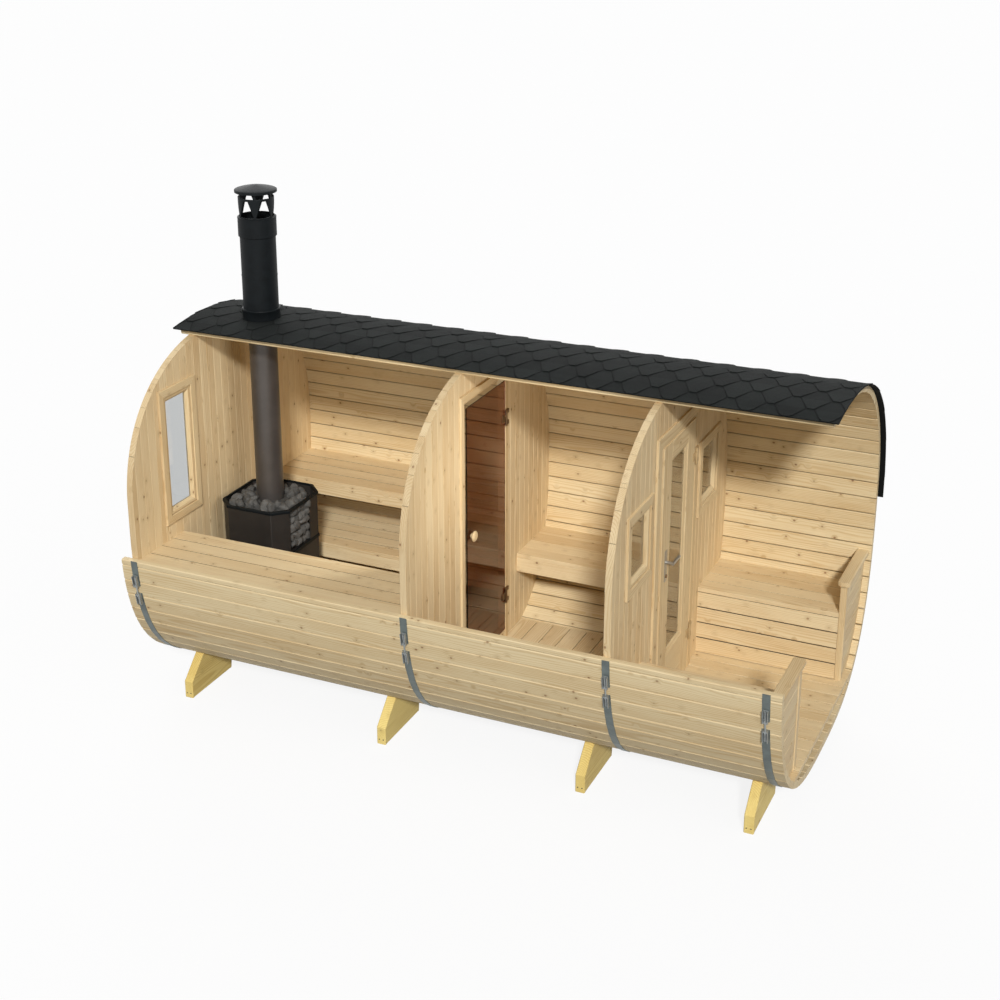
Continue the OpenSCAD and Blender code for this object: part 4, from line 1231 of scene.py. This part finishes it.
class SAUNA_OT_railings(SaunaOperator):
    """Builds the two porch railings: post, level boards and a cap with an eased nose"""
    bl_idname = "sauna.railings"
    bl_label = "Railings"
    post, post_inset, panel, panel_inset = 0.046, 0.016, 0.04, 0.006
    board, joint, edge = 0.105, 0.0006, 0.004
    cap_thickness, cap_room, cap_edge, cap_nose = 0.028, 0.0004, 0.007, 0.014

    def build(self, scene, barrel):
        for seed, (node, side) in enumerate((("railing_far", 1), ("railing_near", -1))):
            low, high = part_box(node)
            x, half = (low.x + high.x) / 2, (high.x - low.x) / 2
            back, face = x - self.panel / 2, x + self.panel / 2
            nose = min(abs(low.y), abs(high.y))
            start = nose + self.post_inset
            under = high.z - self.cap_thickness - self.cap_room
            boards = Boards(120 + seed)
            near, far = np.sort([side * start, side * (start + self.post)])
            boards.plank((back, near, low.z), (face, far, under), Z, self.edge)
            levels = np.linspace(low.z, under, round((under - low.z) / self.board) + 1)
            rings = upright(face - self.panel_inset, back + self.panel_inset, levels[:-1] + self.joint,
                            levels[1:] - self.joint, self.edge, 4)
            boards.carry(rings, side * (start + self.post + self.joint), side * barrel.reach(rings[..., 1]),
                         (Y, X, Z), joint_sides(rings))
            cap = level(high.z, high.z - self.cap_thickness, low.x, high.x, self.cap_edge, 4)
            ease = np.maximum(np.abs(cap[..., 0] - x) - half + self.cap_nose, 0)
            boards.carry(cap, side * (nose + ease), side * barrel.reach(cap[..., 1]), (Y, X, Z))
            boards.piece(node + "_boards", "trim_pine", (node,))


class SAUNA_OT_stove(SaunaOperator):
    """Builds the stove case, its rim and fire door, the stones and the flue pipe"""
    bl_idname = "sauna.stove"
    bl_label = "Stove"
    chamfer = 0.086
    case_edge = 0.002
    # Closed profiles of (inset, rise) over the top, the ledge under the stones, the floor and the top again.
    rim_rows = [(0.0, -0.020), (-0.005, -0.017), (-0.005, -0.003), (-0.002, 0.001), (0.010, 0.001),
                (0.010, -0.010), (0.006, -0.012), (0.006, -0.020)]
    ledge_rows = [(0.0, -0.016), (-0.004, -0.013), (-0.004, 0.006), (0.0, 0.009), (0.005, 0.009),
                  (0.005, -0.016)]
    foot_rows = [(0.0, 0.0), (-0.004, 0.0), (-0.004, 0.034), (0.0, 0.04), (0.005, 0.04), (0.005, 0.0)]
    filler_rows = [(0.05, -0.29), (0.05, -0.035), (0.12, -0.01), (0.15, -0.01), (0.15, -0.29)]
    ledge_drop = 0.300
    door_level, door_edge, door_sunk = 0.245, 0.008, 0.002
    door_plates = [(0.10, 0.095, 0.014), (0.085, 0.08, 0.019)]
    handle_place = (0.014, -0.088, 0.02)
    handle = [(0, 0.062), (0.008, 0.060), (0.011, 0.054), (0.011, 0.046), (0.006, 0.040), (0.005, 0.0),
              (0, 0.0)]
    stone_pitch, stone_jitter, stone_sizes = 0.056, 0.012, (0.031, 0.043)
    wall_room, flue_room, corner_room = 0.046, 0.034, 0.01
    heap_drop, heap_rise, heap_jitter = 0.028, 0.044, 0.007
    lower_shift, lower_drop = 0.024, 0.068
    shelf_inset, shelf_span, shelf_columns = 0.038, (-0.125, 0.045), 5
    shelf_drop, shelf_head, shelf_pitch, shelf_shift, shelf_jitter = 0.262, 0.03, 0.054, 0.03, 0.008
    stone_shares = [(0.78, 1), (0.62, 0.85)]
    # Painted shade: the core under the stones takes this low tone, so the gaps between the stones read as
    # shadow.
    filler_shade_tone = -1.5
    pipe_wall = 0.004
    rosette_reach, rosette_room = 0.128, 0.0006
    rosette = np.array([(0.001, 0), (0.036, 0), (0.040, -0.002), (0.036, -0.004), (0.004, -0.004),
                        (0.004, -0.016), (0.001, -0.016)])

    def build(self, scene, barrel):
        low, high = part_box("stove_body")
        centre = np.array([(low.x + high.x) / 2, (low.y + high.y) / 2])
        half = np.array([high.x - low.x, high.y - low.y]) / 2
        softened_copy("stove_case", "stove_body", "stove_iron", "stove_iron", HOUSE, self.case_edge)
        parts = Parts()
        for rows, height in ((self.rim_rows, high.z), (self.ledge_rows, high.z - self.ledge_drop),
                             (self.foot_rows, low.z)):
            self.collar(parts, centre, half, rows, height)
        parts.piece("stove_rim", "stove_iron", "chimney_black", smooth=False)
        self.fire_door(centre[0] + half[0], centre[1], low.z + self.door_level)
        self.stones(centre, half, high.z)
        self.flue(barrel, centre)

    def octagon(self, centre, half, inset):
        """Two corners on each side of the case, drawn in by inset, in turn round it."""
        x, y = half - inset
        a, b = x - self.chamfer, y - self.chamfer
        return centre + np.array([(-a, -y), (a, -y), (x, -b), (x, b), (a, y), (-a, y), (-x, b), (-x, -b)])

    def collar(self, parts, centre, half, rows, height):
        """A closed profile of (inset, rise over height) carried round the eight-sided case."""
        points = np.stack([np.column_stack([self.octagon(centre, half, inset), np.full(8, height + rise)])
                           for inset, rise in rows])
        parts.put(points, outward(points, grid_faces(len(rows), 8, True).reshape(1, -1, 4)))

    def fire_door(self, face, y, z):
        """Two plates, one on the other, and a turned handle."""
        parts = Parts()
        for wide, tall, deep in self.door_plates:
            ring = level(z + tall, z - tall, y - wide, y + wide, self.door_edge)
            points = np.empty((1, 2, ring.shape[1], 3))
            points[..., 1:] = ring[:, None]
            points[:, 0, :, X], points[:, 1, :, X] = face - self.door_sunk, face + deep
            parts.tubes(points)
        parts.put(*lathe(self.handle, np.array([face, y, z]) + self.handle_place, 20, X))
        parts.piece("stove_fire_door", "stove_iron", "chimney_black", smooth=True)

    def stone_places(self, dice, half, top):
        """Middles of the stones: a domed layer in the top, one under it and a stack behind the opening."""
        low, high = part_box("flue_pipe")
        flue = (high.x - low.x) / 2 + self.flue_room
        reach = half - self.wall_room
        row = np.arange(-4, 5) * self.stone_pitch
        flat = np.stack(np.meshgrid(row, row), -1).reshape(-1, 2)
        flat = flat + dice.uniform(-self.stone_jitter, self.stone_jitter, flat.shape)
        clear = lambda spots: (np.abs(spots) < reach).all(axis=1) & (np.linalg.norm(spots, axis=1) > flue)
        corner = reach.sum() - self.chamfer + self.corner_room
        flat = flat[clear(flat) & (np.abs(flat).sum(axis=1) < corner)]
        dome = 1 - np.abs(flat / half).max(axis=1)
        uneven = dice.uniform(-self.heap_jitter, self.heap_jitter, len(flat))
        upper = np.column_stack([flat, top - self.heap_drop + self.heap_rise * dome + uneven])
        lower = np.column_stack([flat + self.lower_shift, np.full(len(flat), top - self.lower_drop)])
        lower = lower[clear(lower[:, :2])]
        columns = np.linspace(*self.shelf_span, self.shelf_columns)
        rows = np.arange(-self.shelf_drop, -self.shelf_head, self.shelf_pitch)
        y, z = (grid.ravel() for grid in np.meshgrid(columns, rows))
        x = np.full(y.size, half[0] - self.shelf_inset)
        shelf = np.column_stack([x, y + z * 7 % self.shelf_shift, top + z])
        shelf += dice.uniform(-self.shelf_jitter, self.shelf_jitter, shelf.shape)
        return np.vstack([upper, lower, shelf])

    def stones(self, centre, half, top):
        """Each stone is a sphere grid cut by random planes, r = min(d / (n . way)), stretched and turned."""
        planes, around, rings = 11, 12, 8
        depths, grazing, widest = (0.72, 1.0), 0.05, 1.2
        dice = np.random.default_rng(141)
        places = self.stone_places(dice, half, top) + [*centre, 0]
        count = len(places)
        u, v = np.meshgrid(np.linspace(0, 2 * np.pi, around + 1)[:-1], np.linspace(0, np.pi, rings + 1),
                           indexing="ij")
        ways = np.stack([np.sin(v) * np.cos(u), np.sin(v) * np.sin(u), np.cos(v)], -1).reshape(-1, 3)
        sides = dice.normal(0, 1, (count, planes, 3))
        sides /= np.linalg.norm(sides, axis=2, keepdims=True)
        facing = np.maximum(sides @ ways.T, grazing)
        rough = np.minimum((dice.uniform(*depths, (count, planes, 1)) / facing).min(axis=1), widest)
        size = dice.uniform(*self.stone_sizes, (count, 1))
        flat = [dice.uniform(*shares, count) for shares in self.stone_shares]
        size = size * np.stack([np.ones(count), *flat], -1)
        turn = np.linalg.qr(dice.normal(0, 1, (count, 3, 3)))[0]
        local = ways[None] * rough[..., None] * size[:, None]
        points = np.einsum("nij,npj->npi", turn, local) + places[:, None]
        one = grid_faces(around, rings + 1, True, False)[..., BACKWARDS].reshape(-1, 4)
        faces = outward(points, one[None] + (np.arange(count) * len(ways))[:, None, None])
        tone = np.broadcast_to(dice.uniform(-1, 1, (count, 1)), (count, len(ways)))
        # The core under the stones, in a darker tone as painted shade in the gaps between them.
        core = Parts()
        self.collar(core, centre, half, self.filler_rows, top)
        filler = core.points[0]
        add_piece("stove_stone_heap", np.vstack([points.reshape(-1, 3), filler]),
                  np.vstack([faces.reshape(-1, 4), core.faces[0] + points.size // 3]), "stove_stone",
                  stands_for=("stove_stones",), weld=True,
                  tone=np.concatenate([tone.ravel(), np.full(len(filler), self.filler_shade_tone)]))

    def flue(self, barrel, centre):
        """The open pipe, and a rosette round it under the roof."""
        low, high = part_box("flue_pipe")
        r = (high.x - low.x) / 2
        bore = r - self.pipe_wall
        points, faces = lathe([(r, low.z), (r, high.z), (bore, high.z), (bore, low.z)], (*centre, 0))
        add_piece("flue_tube", points, faces, "stove_iron", "flue_grey", stands_for=("flue_pipe",),
                  smooth=True)
        ring = barrel.ceiling(self.rosette_reach) - self.rosette_room
        points, faces = lathe(self.rosette + [r, ring], (*centre, 0))
        add_piece("flue_rosette", points, faces, "stove_iron", "chimney_black", smooth=True)


class SAUNA_OT_chimney(SaunaOperator):
    """Builds the chimney with its flashing foot, and the cowl with its windows and low cap"""
    bl_idname = "sauna.chimney"
    bl_label = "Chimney and cowl"
    jacket_step, bore_step, foot_height, roof_room = 0.008, 0.030, 0.060, 0.0123
    roof_points, foot_lip = 1441, 0.001
    # Beads of (step out, rise): at the foot's and the jacket's upper end, and under the cowl's windows.
    foot_bead = [(0, -0.010), (0.0012, -0.008), (0.0012, -0.002), (0, 0)]
    jacket_bead = [(0, -0.25), (0.0012, -0.249), (0.0012, -0.243), (0, -0.242)]
    collar_bead = [(0, -0.009), (0.001, -0.008), (0.001, -0.003), (0, -0.002)]
    hem, rim_wall, rim_ease, cap_fullness = 0.003, 0.005, 0.001, 0.4
    collar, ring, sill, band, gap, rim = 0.118, 0.119, 0.004, 0.014, 0.028, 0.014
    wide, narrow, brim, wall = 0.116, 0.108, 0.127, 0.004
    windows, columns, window_rows, first_window, slack = 6, 16, 9, 0.445, 1e-6
    window_shares = [0.9, 0.26]
    leg_half, leg_thick = 0.007, 0.006

    def build(self, scene, barrel):
        low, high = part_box("chimney")
        centre = np.array([(low.x + high.x) / 2, (low.y + high.y) / 2, 0])
        wide = (high.x - low.x) / 2
        narrow, bore, top = wide - self.jacket_step, wide - self.bore_step, high.z
        roof = barrel.curve(np.linspace(0, np.pi, self.roof_points), self.roof_room)[::-1]
        foot = np.interp(0, roof[:, 0], roof[:, 1]) + self.foot_height
        rows = [(wide, 0), *((wide + step, foot + rise) for step, rise in self.foot_bead),
                (narrow, foot + self.foot_lip),
                *((narrow + step, top + rise) for step, rise in self.jacket_bead),
                (narrow, top), (bore, top), (bore, 0)]
        points, faces = lathe(rows, centre)
        base = np.array([z == 0 for _, z in rows])
        points[:, base, Z] = np.interp(points[:, base, Y], roof[:, 0], roof[:, 1])
        add_piece("chimney_jacket", points, faces, "chimney_black", stands_for=("chimney",), smooth=True)
        self.cowl_ring(centre)
        self.cowl_cap(centre)

    def cowl_ring(self, centre):
        """A sheet over angle and height with six windows left out; between a window's edge columns the angle
        follows the window's width at that height. The sheet gets its thickness from Solidify."""
        collar, count, columns = self.collar, self.windows, self.columns
        sill, head, top = collar + self.sill, collar + self.ring - self.band, collar + self.ring
        lower = np.array([(self.wide, 0), (self.wide, self.hem),
                          *((self.wide + step, collar + rise) for step, rise in self.collar_bead),
                          (self.narrow, collar)])
        upper = np.concatenate([np.linspace(sill, head, self.window_rows), [head + self.band / 2, top]])
        z = np.concatenate([lower[:, 1], upper])
        r = np.concatenate([lower[:, 0], np.full(len(upper), self.narrow)])
        c = np.linspace(-1, 1, columns + 1)[:-1]
        share = np.interp(z, [sill, head], self.window_shares)[:, None]
        inside = np.interp(c, [-1, -0.5, 0.5, 1], [0, 1, 1, 0])
        flank = np.sign(c) * (share + (1 - share) * (1 - inside))
        bent = np.where(np.abs(c) > 0.5, flank, c / 0.5 * share)
        turn = np.arange(count)[None, :, None] + self.first_window + bent[:, None, :] / 2
        turn = turn.reshape(len(z), -1) * (2 * np.pi / count)
        r, height = r[:, None], np.broadcast_to(z[:, None], turn.shape)
        points = np.stack([r * np.cos(turn), r * np.sin(turn), height], -1)
        points = points + centre + [0, 0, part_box("cowl")[0].z]
        around = count * columns
        spot = np.arange(around) % columns
        open_rows = (z[:-1] > sill - self.slack) & (z[1:] < head + self.slack)
        window = open_rows[:, None] & (spot >= columns // 4) & (spot < 3 * columns // 4)
        faces = grid_faces(len(z), around)[~window]
        shell = add_piece("cowl_ring", points, faces, "chimney_black", stands_for=("cowl",), smooth=True,
                          weld=True)
        wall = shell.modifiers.new("wall", "SOLIDIFY")
        wall.thickness, wall.offset = self.wall, -1

    def cowl_cap(self, centre):
        """A lathed cap whose height is a mix of sin t and 1 - cos t over radius cos t, on six legs."""
        low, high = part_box("cowl")
        brim, rim, lip, full = self.brim, self.rim, self.rim / 4, self.cap_fullness
        base = low.z + self.collar + self.ring + self.gap
        t = np.linspace(0, np.pi / 2, 10)
        rise = (high.z - base - rim) * (1 + full * np.sin(t) - np.cos(t)) / (1 + full)
        dome = np.column_stack([brim * np.cos(t), rim + rise])
        dome[-1, 0] = 0
        hollow, ease = brim - self.rim_wall, self.rim_ease
        edge = [[0, lip], [hollow - ease, lip], [hollow, 0], [brim - ease, 0], [brim, ease]]
        cap = Parts()
        cap.put(*lathe(np.vstack([edge, dome]), centre + [0, 0, base]))
        inner, outer, half = self.narrow - self.leg_thick, self.narrow, self.leg_half
        r, side = np.array([(inner, -half), (outer, -half), (outer, half), (inner, half)]).T
        place = (np.arange(self.windows) + self.first_window + 0.5)[:, None] * (2 * np.pi / self.windows)
        legs = np.empty((self.windows, 2, 4, 3))
        legs[..., X] = (np.cos(place) * r - np.sin(place) * side)[:, None]
        legs[..., Y] = (np.sin(place) * r + np.cos(place) * side)[:, None]
        legs[:, 0, :, Z], legs[:, 1, :, Z] = base - self.gap - self.band / 2, base + lip + ease
        cap.tubes(legs + [centre[0], centre[1], 0])
        cap.piece("cowl_cap", "chimney_black")


class SAUNA_OT_stage(SaunaOperator):
    """Sets a plain pale floor, a soft sun with light from all round, and the camera"""
    bl_idname = "sauna.stage"
    bl_label = "Stage"
    sensor = 36
    camera_place = (3.7326, -8.3831, 5.2124)
    camera_tilt, camera_turn = 70.4115, 24.1036
    sun_spread, soft_spread = 6, 40
    sun_way, side_way, back_way = (-0.36, 0.76, -0.54), (-0.9, 0.2, -0.4), (0.5, -0.76, -0.42)
    panel_size, panel_way = 0.6, (-0.72, 0.68, 0.12)
    hot_room_place, changing_room_place = (-0.46, -0.6, 1.6), (0.7, -0.6, 1.6)
    sky_tint = (0.97, 0.985, 1, 1)
    floor_reach, floor_bounce, floor_pale, floor_white = 60, 0.18, 0.93, 0.86

    def build(self, scene, barrel):
        stage = scene.sauna_stage
        scene.view_settings.view_transform = "Standard"
        self.floor()
        self.sky(scene, stage.sky)
        self.lamp(scene, "sun", stage.sun, self.sun_spread, self.sun_way)
        self.lamp(scene, "side_light", stage.side, self.soft_spread, self.side_way)
        self.lamp(scene, "back_light", stage.back, self.soft_spread, self.back_way)
        self.panel(scene, "hot_room_light", stage.hot_room, self.hot_room_place)
        self.panel(scene, "changing_room_light", stage.changing_room, self.changing_room_place)
        camera = bpy.data.cameras.new("camera")
        camera.lens, camera.sensor_width, camera.shift_y = stage.lens, self.sensor, stage.shift
        eye = bpy.data.objects.new("camera", camera)
        eye.location = self.camera_place
        eye.rotation_euler = (math.radians(self.camera_tilt), 0, math.radians(self.camera_turn))
        scene.collection.objects.link(eye)
        scene.camera = eye

    def lamp(self, scene, name, strength, spread, way):
        """A sun of a given spread in degrees whose light travels along way."""
        light = bpy.data.lights.new(name, "SUN")
        light.energy, light.angle, light.color = strength, math.radians(spread), (1, 1, 1)
        lamp = bpy.data.objects.new(name, light)
        lamp.rotation_euler = self.turned(way)
        scene.collection.objects.link(lamp)

    def turned(self, way):
        """The turn that sends a lamp's light along way."""
        return (math.acos(-way[Z] / math.hypot(*way)), 0, math.atan2(-way[X], way[Y]))

    def panel(self, scene, name, watts, place):
        """A soft square panel, itself unseen, that lights a room towards the gable and the far staves."""
        light = bpy.data.lights.new(name, "AREA")
        light.energy, light.size, light.color = watts, self.panel_size, (1, 1, 1)
        lamp = bpy.data.objects.new(name, light)
        lamp.location, lamp.rotation_euler = place, self.turned(self.panel_way)
        lamp.visible_camera = lamp.visible_glossy = lamp.visible_transmission = False
        scene.collection.objects.link(lamp)

    def floor(self):
        """A flat square that gives back little light to the object, and is nearly white where it is seen."""
        reach = self.floor_reach
        mesh = bpy.data.meshes.new("ground")
        mesh.from_pydata([(-reach, -reach, 0), (reach, -reach, 0), (reach, reach, 0), (-reach, reach, 0)], [],
                         [(0, 1, 2, 3)])
        sheet = Sheet("pale_floor")
        shade, pale = (sheet.node("ShaderNodeBsdfDiffuse", None, {"Color": (grey, grey, grey, 1)})
                       for grey in (self.floor_bounce, self.floor_pale))
        white = sheet.node("ShaderNodeEmission", None, {"Color": (1, 1, 1, 1), "Strength": 1.0})
        seen = sheet.node("ShaderNodeMixShader", None, {0: self.floor_white, 1: pale, 2: white})
        whole = sheet.node("ShaderNodeMixShader", None, {0: self.sight(sheet), 1: shade, 2: seen})
        sheet.node("ShaderNodeOutputMaterial", None, {"Surface": whole})
        mesh.materials.append(sheet.finish)
        ground = bpy.data.objects.new("ground", mesh)
        bpy.context.scene.collection.objects.link(ground)

    def sight(self, sheet):
        """1 for rays that the camera sends, also by way of metal and glass."""
        ray = sheet.node("ShaderNodeLightPath", out="Is Camera Ray")
        return (ray + ray.out("Is Glossy Ray") + ray.out("Is Transmission Ray")).math("MINIMUM", 1.0)

    def sky(self, scene, strength):
        world = bpy.data.worlds.new("studio")
        world.use_nodes = True
        sheet = Sheet("studio_light")
        bpy.data.materials.remove(sheet.finish)
        sheet.tree = world.node_tree
        sheet.tree.nodes.clear()
        light = sheet.node("ShaderNodeBackground", None, {"Color": self.sky_tint, "Strength": strength})
        white = sheet.node("ShaderNodeBackground", None, {"Color": (1, 1, 1, 1), "Strength": 1.0})
        whole = sheet.node("ShaderNodeMixShader", None, {0: self.sight(sheet), 1: light, 2: white})
        sheet.node("ShaderNodeOutputWorld", None, {"Surface": whole})
        scene.world = world


OPERATORS = (
    SAUNA_OT_staves, SAUNA_OT_straps, SAUNA_OT_shingles, SAUNA_OT_cradles, SAUNA_OT_walls, SAUNA_OT_windows,
    SAUNA_OT_glass_door, SAUNA_OT_front_door, SAUNA_OT_floors, SAUNA_OT_seats, SAUNA_OT_railings,
    SAUNA_OT_stove, SAUNA_OT_chimney, SAUNA_OT_stage,
)


class SAUNA_PT_panel(bpy.types.Panel):
    """Lists the operators and settings of the sauna"""
    bl_label = "Barrel sauna"
    bl_space_type = "VIEW_3D"
    bl_region_type = "UI"
    bl_category = "Sauna"

    def draw(self, context):
        for operator in OPERATORS:
            self.layout.operator(operator.bl_idname)
        for key, group in SETTINGS.items():
            for name in group.__annotations__:
                self.layout.prop(getattr(context.scene, key), name)


def register():
    for group in SETTINGS.values():
        bpy.utils.register_class(group)
    for key, group in SETTINGS.items():
        setattr(bpy.types.Scene, key, PointerProperty(type=group))
    for operator in OPERATORS:
        bpy.utils.register_class(operator)
    bpy.utils.register_class(SAUNA_PT_panel)


def unregister():
    bpy.utils.unregister_class(SAUNA_PT_panel)
    for operator in reversed(OPERATORS):
        bpy.utils.unregister_class(operator)
    for key, group in SETTINGS.items():
        delattr(bpy.types.Scene, key)
        bpy.utils.unregister_class(group)


def main():
    register()
    for operator in OPERATORS:
        family, action = operator.bl_idname.split(".")
        getattr(getattr(bpy.ops, family), action)()


if __name__ == "__main__":
    main()
